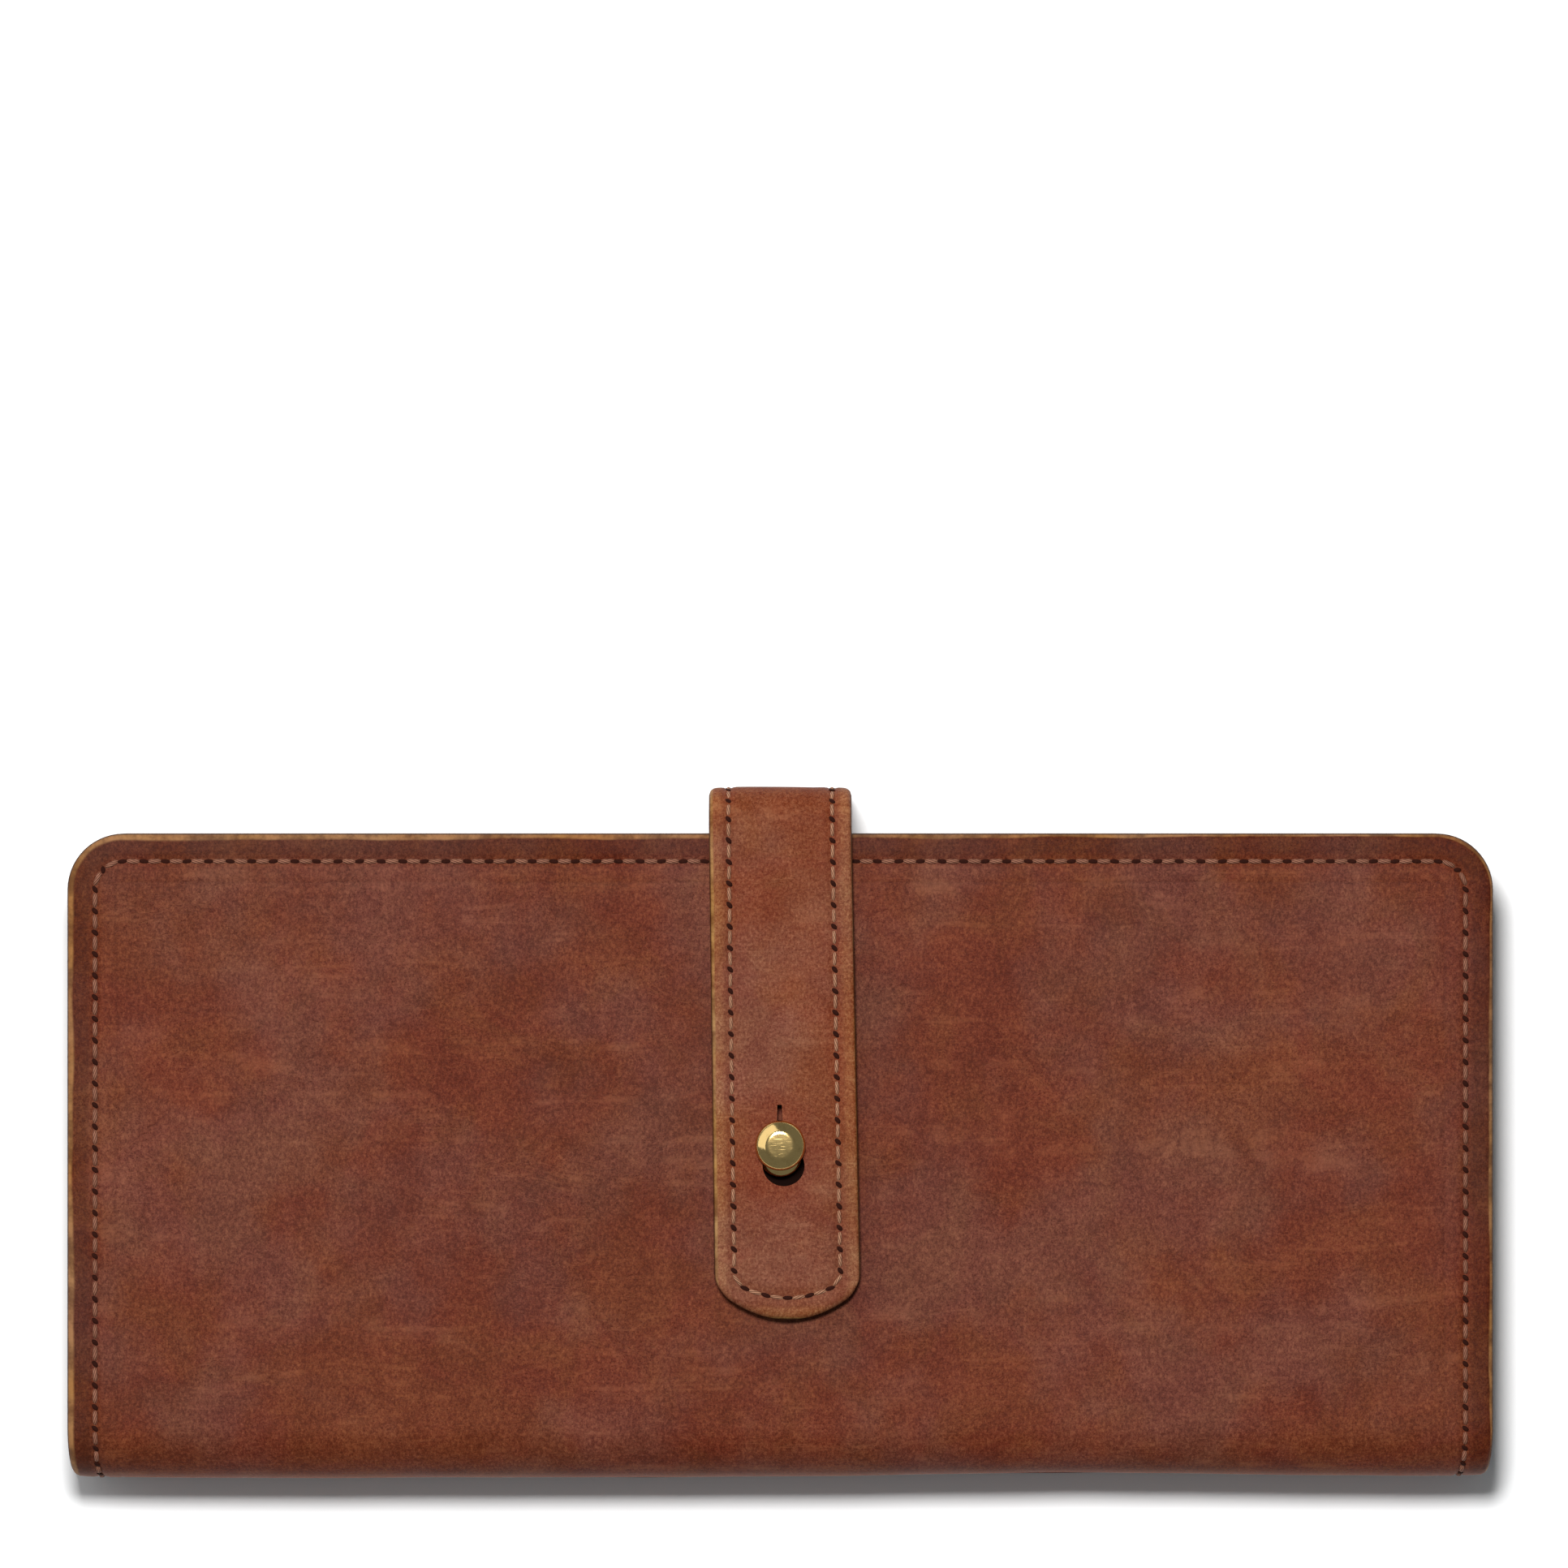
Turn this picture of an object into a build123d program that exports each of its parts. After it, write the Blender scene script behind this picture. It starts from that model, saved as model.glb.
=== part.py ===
from build123d import *
import math
import os

# A long leather wallet lying on its back: one cover folded round a stack of pockets, held
# shut by a strap that buttons on a brass stud. +X runs along the fold, +Y from the fold to
# the open edge, +Z up. The origin is on the resting face, in the middle of the outline.

# Driving dimensions, millimetres
WIDTH = 190.0  # along the fold
DEPTH = 86.0  # fold to open edge
THICKNESS = 18.0  # closed, over both cover panels
HIDE = 1.8  # cover hide
BOARD = 1.2  # leather board behind each cover panel
LINING = 0.5
WALL = 0.8  # thin leather of the pockets
CORNER = 7.5  # the cover's two corners at the open edge
FOLD_RADIUS = 7.0  # outside of the fold, at each cover panel
FOLD_GAP = 0.1  # between a panel and the fold piece
EDGE_ROUND = 0.7  # burnished outer edges

STRAP_WIDTH = 19.0
STRAP_LAYER = 1.2  # the strap is two such layers
STRAP_LOOP = 6.2  # how far the strap stands out past the open edge
STRAP_REACH = 64.7  # open edge to the strap's tip
STRAP_TIP_RISE = 4.2  # depth of the tip's shallow arc
STRAP_TIP_CORNER = 2.7
STRAP_BEND = 5.0  # outside radius where the strap turns
STRAP_LEAN = 0.9  # degrees, the strap is sewn in a little askew
STRAP_GAP = 0.5  # air between strap and cover
ROOT_LENGTH = 20.0  # of the strap's end inside the back

STUD_DROP = 41.5  # open edge to the stud's axis
STUD_HEAD_RADIUS = 3.0
STUD_NECK_RADIUS = 1.6
STUD_COLLAR_RADIUS = 2.4
SCREW_RADIUS = 1.0
SCREW_HEAD_RADIUS = 3.2
SLOT_WIDTH = 0.7
KEYHOLE_RADIUS = 2.75
KEYHOLE_DROP = 2.7  # stud's axis to the keyhole's centre
SLIT_RISE = 5.3  # stud's axis to the slit's end

STITCH_PITCH = 2.88
STITCH_LENGTH = 2.1
THREAD_WIDTH = 0.7
THREAD_DEPTH = 0.35
SEAM_INSET = 3.7
SEAM_CORNER = 3.0
STRAP_SEAM_INSET = 2.6

SLOT_COUNT = 4  # rows of card slots
SLOT_STEP = 12.0
POCKET_INSET = 2.0  # pockets stop short of the fold by this much

ZIP_DROP = 20.0  # open edge to the zip's centre line
ZIP_LENGTH = 144.0
ZIP_WINDOW = 6.4  # gap between the two coin panels
TOOTH_PITCH = 1.6
TOOTH_GAP = 0.55  # from the zip's centre line to each row of teeth
TOOTH_REACH = 1.65
TOOTH_HEIGHT = 1.4
TOOTH_WIDTH = 0.9
TAPE_WIDTH = 4.9
TAPE_THICKNESS = 0.4
SLIDER_LENGTH = 9.0
SLIDER_WIDTH = 7.0
PLATE = 0.7
BAIL_RADIUS = 0.6
PULL_LENGTH = 20.0
PULL_WIDTH = 5.0
PULL_THICKNESS = 0.6
CLEARANCE = 0.2

# Places worked out from the dimensions above
FOLD_Y = -(DEPTH + STRAP_LOOP) / 2
TOP_Y = FOLD_Y + DEPTH
LOOP_Y = TOP_Y + STRAP_LOOP
PANEL_Y = FOLD_Y + FOLD_RADIUS + FOLD_GAP
POCKET_Y = PANEL_Y + POCKET_INSET
STUD_Y = TOP_Y - STUD_DROP
KEYHOLE_Y = STUD_Y - KEYHOLE_DROP
ZIP_Y = TOP_Y - ZIP_DROP
COIN_TOP_Y = TOP_Y - 9.0
FRONT_Z = THICKNESS - HIDE
STRAP_TOP = THICKNESS + STRAP_GAP + 2 * STRAP_LAYER
STRAP_START_Y = LOOP_Y - STRAP_BEND

os.makedirs("parts", exist_ok=True)


def save(piece, name):
    """Label a finished piece and write its STEP file."""
    piece.part.label = name
    export_step(piece.part, f"parts/{name}.step")


def sheet(low_z, thickness, low_y, high_y, corner, width=WIDTH):
    """A flat sheet that starts at the fold and has its two far corners rounded."""
    with BuildPart() as piece:
        with BuildSketch(Plane.XY.offset(low_z)) as outline:
            with Locations((0, (low_y + high_y) / 2)):
                Rectangle(width, high_y - low_y)
            if corner:
                fillet(outline.vertices().group_by(Axis.Y)[-1], corner)
        extrude(amount=thickness)
    return piece


def bar(center, size):
    """A plain rectangular piece, added to the part in hand."""
    with Locations(center):
        Box(*size)


# Seams: the three sides of each cover panel, open towards the fold

def cover_seam(z):
    """The line that the cover's thread follows, at height z."""
    side = WIDTH / 2 - SEAM_INSET
    high = TOP_Y - SEAM_INSET
    corners = [(-side, PANEL_Y), (-side, high), (side, high), (side, PANEL_Y)]
    with BuildLine(Plane.XY.offset(z)) as seam:
        FilletPolyline(*corners, radius=SEAM_CORNER)
    return seam.wire()


def stitch_places(seam):
    """Evenly spaced middles of the stitches along a seam, turned to follow it."""
    count = round(seam.length / STITCH_PITCH)
    places = []
    for number in range(count):
        share = (number + 0.5) / count
        point = seam.position_at(share)
        along = seam.tangent_at(share)
        angle = math.degrees(math.atan2(along.Y, along.X))
        places.append(Location((point.X, point.Y, point.Z), (0, 0, angle)))
    return places


def groove(seam, low_z):
    """Cut a seam's groove in the part in hand, upwards from low_z."""
    with BuildSketch(Plane.XY.offset(low_z)) as cut:
        trace(seam, line_width=THREAD_WIDTH + 2 * CLEARANCE)
    extrude(cut.sketch, amount=THREAD_DEPTH, mode=Mode.SUBTRACT)


def stitches(seam, low_z, name):
    """The seam's thread, seen as separate stitches in the groove."""
    with BuildPart() as thread:
        with BuildSketch(Plane.XY.offset(low_z)):
            with Locations(*stitch_places(seam)):
                SlotOverall(STITCH_LENGTH, THREAD_WIDTH)
        extrude(amount=THREAD_DEPTH)
    save(thread, name)


def outer_rim(piece, face_z):
    """The edges of a cover panel's outer face, all but the one at the fold."""
    rim = piece.edges().filter_by_position(Axis.Z, face_z - 0.01, face_z + 0.01)
    return [edge for edge in rim if edge.center().Y > PANEL_Y + 0.01]


# The cover: back panel, fold and front panel

flat_seam = cover_seam(0)

back_panel = sheet(0, HIDE, PANEL_Y, TOP_Y, CORNER)
with back_panel:
    fillet(outer_rim(back_panel, 0), EDGE_ROUND)
    groove(flat_seam, 0)
save(back_panel, "back_panel")
stitches(flat_seam, 0, "back_stitching")

front_panel = sheet(FRONT_Z, HIDE, PANEL_Y, TOP_Y, CORNER)
with front_panel:
    fillet(outer_rim(front_panel, THICKNESS), EDGE_ROUND)
    groove(flat_seam, THICKNESS - THREAD_DEPTH)
    with Locations((0, STUD_Y, FRONT_Z + HIDE / 2)):
        Cylinder(STUD_NECK_RADIUS + CLEARANCE / 2, HIDE, mode=Mode.SUBTRACT)
save(front_panel, "front_panel")
stitches(flat_seam, THICKNESS - THREAD_DEPTH, "front_stitching")


def fold_strip(depth_in, thickness, name):
    """A C-shaped strip round the fold; depth_in is from the outside to its outer face."""
    middle = depth_in + thickness / 2
    radius = FOLD_RADIUS - middle
    start_y = FOLD_Y + FOLD_RADIUS
    with BuildPart() as strip:
        with BuildSketch(Plane.YZ.offset(-WIDTH / 2)):
            with BuildLine():
                CenterArc((start_y, FOLD_RADIUS), radius, 180, 90)
                Line((FOLD_Y + middle, FOLD_RADIUS), (FOLD_Y + middle, THICKNESS - FOLD_RADIUS))
                CenterArc((start_y, THICKNESS - FOLD_RADIUS), radius, 90, 90)
            trace(line_width=thickness)
        extrude(amount=WIDTH)
    save(strip, name)


fold_strip(0, HIDE, "spine_panel")
fold_strip(HIDE, LINING, "spine_lining")

# Back half, from the cover inwards: board, lining, bill pocket wall and coin pocket

level = HIDE
back_stiffener = sheet(level, BOARD, PANEL_Y, TOP_Y, CORNER)
with back_stiffener:
    root_slot = (STRAP_WIDTH + 2 * CLEARANCE, ROOT_LENGTH + CLEARANCE, BOARD)
    with Locations((0, TOP_Y - root_slot[1] / 2, level + BOARD / 2)):
        Box(*root_slot, mode=Mode.SUBTRACT)
save(back_stiffener, "back_stiffener")

with BuildPart() as strap_root:
    bar((0, TOP_Y - ROOT_LENGTH / 2, level + STRAP_LAYER / 2), (STRAP_WIDTH, ROOT_LENGTH, STRAP_LAYER))
save(strap_root, "strap_root")

level += BOARD
save(sheet(level, LINING, PANEL_Y, TOP_Y, CORNER), "back_lining")
level += LINING
save(sheet(level, WALL, PANEL_Y, TOP_Y - 5.0, CORNER), "back_bill_wall")
level += WALL
save(sheet(level, TAPE_THICKNESS, POCKET_Y, COIN_TOP_Y, 0), "coin_bag")
level += TAPE_THICKNESS

WELT_WIDTH = 5.0
WELT_HEIGHT = 1.7
coin_gusset = sheet(level, WELT_HEIGHT, POCKET_Y, COIN_TOP_Y, 0)
with coin_gusset:
    inside = (WIDTH - 2 * WELT_WIDTH, COIN_TOP_Y - POCKET_Y - 2 * WELT_WIDTH, WELT_HEIGHT)
    with Locations((0, (COIN_TOP_Y + POCKET_Y) / 2, level + WELT_HEIGHT / 2)):
        Box(*inside, mode=Mode.SUBTRACT)
save(coin_gusset, "coin_gusset")
bag_top = level
level += WELT_HEIGHT

# The two coin panels leave a window for the zip between them
save(sheet(level, WALL, POCKET_Y, ZIP_Y - ZIP_WINDOW / 2, 0), "coin_panel_lower")
save(sheet(level, WALL, ZIP_Y + ZIP_WINDOW / 2, COIN_TOP_Y, 0), "coin_panel_upper")

# The zip, shut: each side has a tape under its coin panel and a row of teeth on it


def zip_side(side, name, shift):
    """One half of the zip; side is +1 above the centre line and -1 below it."""
    with BuildPart() as tape:
        center_y = ZIP_Y + side * (TOOTH_GAP + TAPE_WIDTH / 2)
        bar((0, center_y, level - TAPE_THICKNESS / 2), (ZIP_LENGTH + 16, TAPE_WIDTH, TAPE_THICKNESS))
    save(tape, f"zip_tape_{name}")
    count = int(ZIP_LENGTH / TOOTH_PITCH)
    center_y = ZIP_Y + side * (TOOTH_GAP + TOOTH_REACH / 2)
    with BuildPart() as teeth:
        with BuildSketch(Plane.XY.offset(level)):
            with Locations((shift, center_y)):
                with GridLocations(TOOTH_PITCH, 1, count, 1):
                    Rectangle(TOOTH_WIDTH, TOOTH_REACH)
        extrude(amount=TOOTH_HEIGHT)
    save(teeth, f"zip_teeth_{name}")


zip_side(1, "upper", TOOTH_PITCH / 4)
zip_side(-1, "lower", -TOOTH_PITCH / 4)

STOP_LENGTH = 2.5
stop_x = (ZIP_LENGTH + STOP_LENGTH) / 2 + 1.0
stop_y = TOOTH_GAP + TOOTH_REACH / 2
with BuildPart() as zip_stops:
    for side in (1, -1):
        bar((-stop_x, ZIP_Y + side * stop_y, level + TOOTH_HEIGHT / 2), (STOP_LENGTH, TOOTH_REACH, TOOTH_HEIGHT))
    bar((stop_x, ZIP_Y, level + TOOTH_HEIGHT / 2), (STOP_LENGTH, 2 * (TOOTH_GAP + TOOTH_REACH), TOOTH_HEIGHT))
save(zip_stops, "zip_stops")

# The slider stands at the shut end. Its two plates hold the tapes between them and are
# joined by a post between the rows of teeth. A bail on top holds the pull.
slider_x = (ZIP_LENGTH - SLIDER_LENGTH) / 2 - 2.0
plate_z = level + TOOTH_HEIGHT + CLEARANCE / 2
under_z = level - TAPE_THICKNESS - 0.3
deck = plate_z + PLATE
PULL_Z = deck + CLEARANCE
bail_low = PULL_Z + PULL_THICKNESS + CLEARANCE
leg_x = slider_x - 1.2
far_leg_x = slider_x + 2.2
POST_WIDTH = 0.8
with BuildPart() as zip_slider:
    for low in (plate_z, under_z - PLATE):
        with BuildSketch(Plane.XY.offset(low)):
            with Locations((slider_x, ZIP_Y)):
                RectangleRounded(SLIDER_LENGTH, SLIDER_WIDTH, 1.6)
        extrude(amount=PLATE)
    post_height = plate_z - under_z
    bar((slider_x + 3.0, ZIP_Y, under_z + post_height / 2), (2.0, POST_WIDTH, post_height))
    leg_height = bail_low + BAIL_RADIUS - deck
    with Locations((leg_x, ZIP_Y, deck + leg_height / 2), (far_leg_x, ZIP_Y, deck + leg_height / 2)):
        Cylinder(BAIL_RADIUS, leg_height)
    with BuildSketch(Plane.XY.offset(bail_low)):
        with Locations(((leg_x + far_leg_x) / 2, ZIP_Y)):
            SlotOverall(far_leg_x - leg_x + 2 * BAIL_RADIUS, 2 * BAIL_RADIUS)
    extrude(amount=BAIL_RADIUS)
save(zip_slider, "zip_slider")

# The pull's eye goes round the bail's leg, and the pull lies along the shut teeth
with BuildPart() as zip_pull:
    with BuildSketch(Plane.XY.offset(PULL_Z)):
        with Locations((leg_x, ZIP_Y)):
            Circle(2.2)
        with Locations((leg_x - PULL_LENGTH / 2, ZIP_Y)):
            SlotOverall(PULL_LENGTH, PULL_WIDTH)
        with Locations((leg_x - PULL_LENGTH + PULL_WIDTH / 2, ZIP_Y)):
            Circle(1.2, mode=Mode.SUBTRACT)
        with Locations((leg_x, ZIP_Y)):
            Circle(BAIL_RADIUS + CLEARANCE, mode=Mode.SUBTRACT)
    extrude(amount=PULL_THICKNESS)
save(zip_pull, "zip_pull")

# Front half, from the cover inwards: board, lining, bill pocket wall and card slots

level = FRONT_Z - BOARD
SCREW_HEAD = 0.8
front_stiffener = sheet(level, BOARD, PANEL_Y, TOP_Y, CORNER)
with front_stiffener:
    with Locations((0, STUD_Y, level + BOARD / 2)):
        Cylinder(SCREW_HEAD_RADIUS + CLEARANCE, BOARD, mode=Mode.SUBTRACT)
save(front_stiffener, "front_stiffener")
screw_low = level

level -= LINING
save(sheet(level, LINING, PANEL_Y, TOP_Y, CORNER), "front_lining")
level -= WALL
save(sheet(level, WALL, PANEL_Y, TOP_Y - 5.0, CORNER), "front_bill_wall")

# Card slot rows: each lies on the last and stops one step lower
slot_tops = []
for row in range(SLOT_COUNT):
    level -= WALL
    slot_top = TOP_Y - 10.0 - row * SLOT_STEP
    slot_tops.append((slot_top, level))
    save(sheet(level, WALL, POCKET_Y, slot_top, 0), f"card_slot_{row + 1}")

# The seam up the middle parts the two columns of cards
SEAM_THREAD = 0.2
with BuildPart() as card_stitching:
    for row, (slot_top, low_z) in enumerate(slot_tops):
        next_top = slot_tops[row + 1][0] if row + 1 < SLOT_COUNT else POCKET_Y
        count = int((slot_top - next_top) / STITCH_PITCH)
        with Locations((0, (slot_top + next_top) / 2, low_z - SEAM_THREAD / 2)):
            with GridLocations(1, STITCH_PITCH, 1, count):
                Box(THREAD_WIDTH, STITCH_LENGTH, SEAM_THREAD)
save(card_stitching, "card_stitching")

# The stud: a turned brass head and neck, a washer on the cover and a screw from inside

WASHER = 0.4
head_low = STRAP_TOP + 0.4
HEAD_HEIGHT = 2.0
screw_top = THICKNESS + 1.0
with BuildPart() as stud_head:
    with BuildSketch(Plane.XZ):
        with BuildLine():
            foot = screw_low + SCREW_HEAD
            neck = STUD_NECK_RADIUS
            Polyline((0, foot), (neck, foot), (neck, head_low), (STUD_HEAD_RADIUS - 0.4, head_low))
            RadiusArc((STUD_HEAD_RADIUS - 0.4, head_low), (STUD_HEAD_RADIUS - 0.1, head_low + 0.9), -0.7)
            Polyline(
                (STUD_HEAD_RADIUS - 0.1, head_low + 0.9), (2.0, head_low + HEAD_HEIGHT), (0, head_low + HEAD_HEIGHT),
                (0, foot))
        make_face()
    revolve(axis=Axis.Z)
    with Locations((0, 0, (foot + screw_top) / 2)):
        Cylinder(SCREW_RADIUS + 0.05, screw_top - foot, mode=Mode.SUBTRACT)
stud_head.part = stud_head.part.moved(Location((0, STUD_Y, 0)))
save(stud_head, "stud_head")

with BuildPart() as stud_washer:
    with Locations((0, STUD_Y, THICKNESS + WASHER / 2)):
        Cylinder(STUD_COLLAR_RADIUS, WASHER)
        Cylinder(STUD_NECK_RADIUS + 0.05, WASHER, mode=Mode.SUBTRACT)
    fillet(stud_washer.edges().group_by(Axis.Z)[-1].sort_by(SortBy.LENGTH)[-1], 0.2)
save(stud_washer, "stud_washer")

with BuildPart() as stud_screw:
    with Locations((0, STUD_Y, screw_low + SCREW_HEAD / 2)):
        Cylinder(SCREW_HEAD_RADIUS, SCREW_HEAD)
    with Locations((0, STUD_Y, (screw_low + screw_top) / 2)):
        Cylinder(SCREW_RADIUS, screw_top - screw_low)
    slot_depth = SCREW_HEAD / 2
    with Locations((0, STUD_Y, screw_low + slot_depth / 2)):
        Box(2 * SCREW_HEAD_RADIUS, SLOT_WIDTH, slot_depth, mode=Mode.SUBTRACT)
save(stud_screw, "stud_screw")

# The strap: root to cover (above), riser past the open edge, and the tab over the front


def strap_riser(depth_in, low_z, start_y, name):
    """One layer of the strap where it turns up past the open edge and back over it."""
    middle = depth_in + STRAP_LAYER / 2
    radius = STRAP_BEND - middle
    low_line = low_z + STRAP_LAYER / 2
    low_bend = low_line + radius
    high_bend = STRAP_TOP - STRAP_BEND
    upright_y = LOOP_Y - middle
    with BuildPart() as riser:
        with BuildSketch(Plane.YZ.offset(-STRAP_WIDTH / 2)):
            with BuildLine():
                Line((start_y, low_line), (STRAP_START_Y, low_line))
                CenterArc((STRAP_START_Y, low_bend), radius, 270, 90)
                Line((upright_y, low_bend), (upright_y, high_bend))
                CenterArc((STRAP_START_Y, high_bend), radius, 0, 90)
            trace(line_width=STRAP_LAYER)
        extrude(amount=STRAP_WIDTH)
    save(riser, name)


strap_riser(0, HIDE, TOP_Y, "strap_riser_outer")
strap_riser(STRAP_LAYER, HIDE + STRAP_LAYER, TOP_Y + CLEARANCE, "strap_riser_lining")


def strap_x(y):
    """The strap's centre line, which leans a little as it comes down over the front."""
    return (STRAP_START_Y - y) * math.tan(math.radians(STRAP_LEAN))


def tab_layer(low_z, name, has_groove):
    """One layer of the strap over the front, with its keyhole and slit."""
    half = STRAP_WIDTH / 2
    tip_y = TOP_Y - STRAP_REACH
    side_y = tip_y + STRAP_TIP_RISE
    middle_x = strap_x(side_y)
    hole_x = strap_x(KEYHOLE_Y)
    with BuildPart() as tab:
        with BuildSketch(Plane.XY.offset(low_z)) as outline:
            with BuildLine():
                top_left = (-half, STRAP_START_Y)
                low_left = (middle_x - half, side_y)
                low_right = (middle_x + half, side_y)
                top_right = (half, STRAP_START_Y)
                Polyline(low_right, top_right, top_left, low_left)
                ThreePointArc(low_left, (strap_x(tip_y), tip_y), low_right)
            make_face()
            fillet(outline.vertices().group_by(Axis.Y)[0], STRAP_TIP_CORNER)
            with Locations((hole_x, KEYHOLE_Y)):
                Circle(KEYHOLE_RADIUS, mode=Mode.SUBTRACT)
            with BuildLine():
                neck = STUD_NECK_RADIUS + CLEARANCE
                Polyline(
                    (hole_x - neck, KEYHOLE_Y), (-neck, STUD_Y + 0.9), (-0.35, STUD_Y + 3.6),
                    (0, STUD_Y + SLIT_RISE), (0.35, STUD_Y + 3.6), (neck, STUD_Y + 0.9),
                    (hole_x + neck, KEYHOLE_Y), close=True)
            make_face(mode=Mode.SUBTRACT)
        extrude(amount=STRAP_LAYER)
        if has_groove:
            groove(tab_seam, STRAP_TOP - THREAD_DEPTH)
    save(tab, name)


seam_half = STRAP_WIDTH / 2 - STRAP_SEAM_INSET
seam_low = TOP_Y - STRAP_REACH + STRAP_TIP_RISE
low_x = strap_x(seam_low)
with BuildLine(Plane.XY.offset(STRAP_TOP)) as tab_path:
    left_side = Line((-seam_half, STRAP_START_Y), (low_x - seam_half, seam_low))
    tip = ThreePointArc(left_side @ 1, (low_x, seam_low - 1.6), (low_x + seam_half, seam_low))
    Line(tip @ 1, (seam_half, STRAP_START_Y))
    fillet(tab_path.vertices().group_by(Axis.Y)[0], STRAP_TIP_CORNER / 2)
tab_seam = tab_path.wire()
tab_layer(STRAP_TOP - STRAP_LAYER, "strap_tab_outer", True)
tab_layer(STRAP_TOP - 2 * STRAP_LAYER, "strap_tab_lining", False)
stitches(tab_seam, STRAP_TOP - THREAD_DEPTH, "strap_stitching")
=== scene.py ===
import math

import bmesh
import bpy
from mathutils import Matrix, Vector, noise


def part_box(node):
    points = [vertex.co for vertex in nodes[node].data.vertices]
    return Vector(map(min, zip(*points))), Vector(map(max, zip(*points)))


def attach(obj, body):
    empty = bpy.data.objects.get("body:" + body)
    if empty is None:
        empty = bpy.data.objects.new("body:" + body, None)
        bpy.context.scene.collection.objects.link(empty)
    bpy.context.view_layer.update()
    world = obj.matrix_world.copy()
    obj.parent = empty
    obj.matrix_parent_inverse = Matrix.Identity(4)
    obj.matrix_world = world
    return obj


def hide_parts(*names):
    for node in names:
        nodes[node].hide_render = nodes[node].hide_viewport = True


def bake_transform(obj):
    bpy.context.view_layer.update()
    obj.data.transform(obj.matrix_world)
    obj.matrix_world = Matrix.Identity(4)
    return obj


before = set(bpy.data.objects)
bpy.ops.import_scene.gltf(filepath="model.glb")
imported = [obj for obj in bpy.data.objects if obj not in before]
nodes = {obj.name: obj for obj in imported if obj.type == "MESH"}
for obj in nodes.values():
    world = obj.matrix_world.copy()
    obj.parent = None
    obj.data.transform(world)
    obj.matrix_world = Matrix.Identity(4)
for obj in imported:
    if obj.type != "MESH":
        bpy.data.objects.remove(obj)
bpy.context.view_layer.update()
mm = 0.001

# Places read from the frame, metres
panelLow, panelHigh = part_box("front_panel")
spineLow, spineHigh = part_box("spine_panel")
tabLow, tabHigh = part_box("strap_tab_outer")
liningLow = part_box("strap_tab_lining")[0]
riserLow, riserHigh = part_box("strap_riser_outer")
studLow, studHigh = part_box("stud_head")
halfWidth = panelHigh.x
topY = panelHigh.y
topZ = panelHigh.z
hide = panelHigh.z - panelLow.z
foldY = spineLow.y
foldRadius = spineHigh.y - spineLow.y
foldStart = foldY + foldRadius
midZ = topZ / 2
foldArc = foldRadius * math.pi / 2
spineMiddle = foldStart - foldArc - (midZ - foldRadius)  # where the two halves meet, measured flat
studX, studY = (studLow.x + studHigh.x) / 2, (studLow.y + studHigh.y) / 2


# Small helpers for working as by hand

def only(obj):
    if bpy.context.mode != "OBJECT":
        bpy.ops.object.mode_set(mode="OBJECT")
    bpy.ops.object.select_all(action="DESELECT")
    obj.select_set(True)
    bpy.context.view_layer.objects.active = obj


def edit(obj, kind="FACE"):
    only(obj)
    bpy.ops.object.mode_set(mode="EDIT")
    bpy.ops.mesh.select_mode(type=kind)
    bpy.ops.mesh.select_all(action="SELECT")


def done():
    bpy.ops.object.mode_set(mode="OBJECT")


def pick(obj, test):  # selects the points, and what they span, in edit mode
    bpy.ops.mesh.select_mode(type="VERT")
    bpy.ops.mesh.select_all(action="DESELECT")
    mesh = bmesh.from_edit_mesh(obj.data)
    for point in mesh.verts:
        point.select = test(point.co)
    mesh.select_flush(True)
    bmesh.update_edit_mesh(obj.data)


def named(name):
    obj = bpy.context.object
    obj.name = name
    obj.data.name = name
    return obj


def begin(name, add, **values):  # a new mesh of its own
    bpy.ops.object.select_all(action="DESELECT")
    add(**values)
    return named(name)


def settle(obj):  # puts the object's place into its mesh
    only(obj)
    bpy.ops.object.transform_apply(location=True, rotation=True, scale=True)
    return obj


def finishWith(obj, kind, **values):
    only(obj)
    modifier = obj.modifiers.new(kind.title(), kind)
    for key, value in values.items():
        setattr(modifier, key, value)
    bpy.ops.object.modifier_apply(modifier=modifier.name)


def smooth(obj, angle):
    only(obj)
    bpy.ops.object.shade_smooth_by_angle(angle=math.radians(angle))


def thicken(obj, depth):  # gives the flat piece an underside and edges
    edit(obj)
    bpy.ops.mesh.extrude_region_move(TRANSFORM_OT_translate={"value": (0, 0, -depth)})
    bpy.ops.mesh.select_all(action="SELECT")
    bpy.ops.mesh.normals_make_consistent(inside=False)
    done()


def copyOf(obj):
    copy = obj.copy()
    copy.data = obj.data.copy()
    bpy.context.scene.collection.objects.link(copy)
    return copy


def flipNormals(obj):
    edit(obj)
    bpy.ops.mesh.flip_normals()
    done()


def cutAcross(obj, places, axis):  # straight cuts that give the sheet points to move
    direction = {"x": (1, 0, 0), "y": (0, 1, 0)}[axis]
    edit(obj)
    for place in places:
        bpy.ops.mesh.select_all(action="SELECT")
        point = [place * share for share in direction]
        bpy.ops.mesh.bisect(plane_co=point, plane_no=direction)
    done()


def steps(low, high, pitch):
    count = max(1, round((high - low) / pitch))
    return [low + (high - low) * number / count for number in range(1, count)]


def keepFlat(obj):  # remembers where each point lies before the piece is bent
    spot = obj.data.attributes.new("flat", "FLOAT_VECTOR", "POINT")
    for point in obj.data.vertices:
        spot.data[point.index].vector = point.co


def keepInside(obj, measure):  # remembers how far each point lies inside the piece's edge, mm
    inside = obj.data.attributes.new("inside", "FLOAT", "POINT")
    for point in obj.data.vertices:
        inside.data[point.index].value = measure(point.co)


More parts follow.
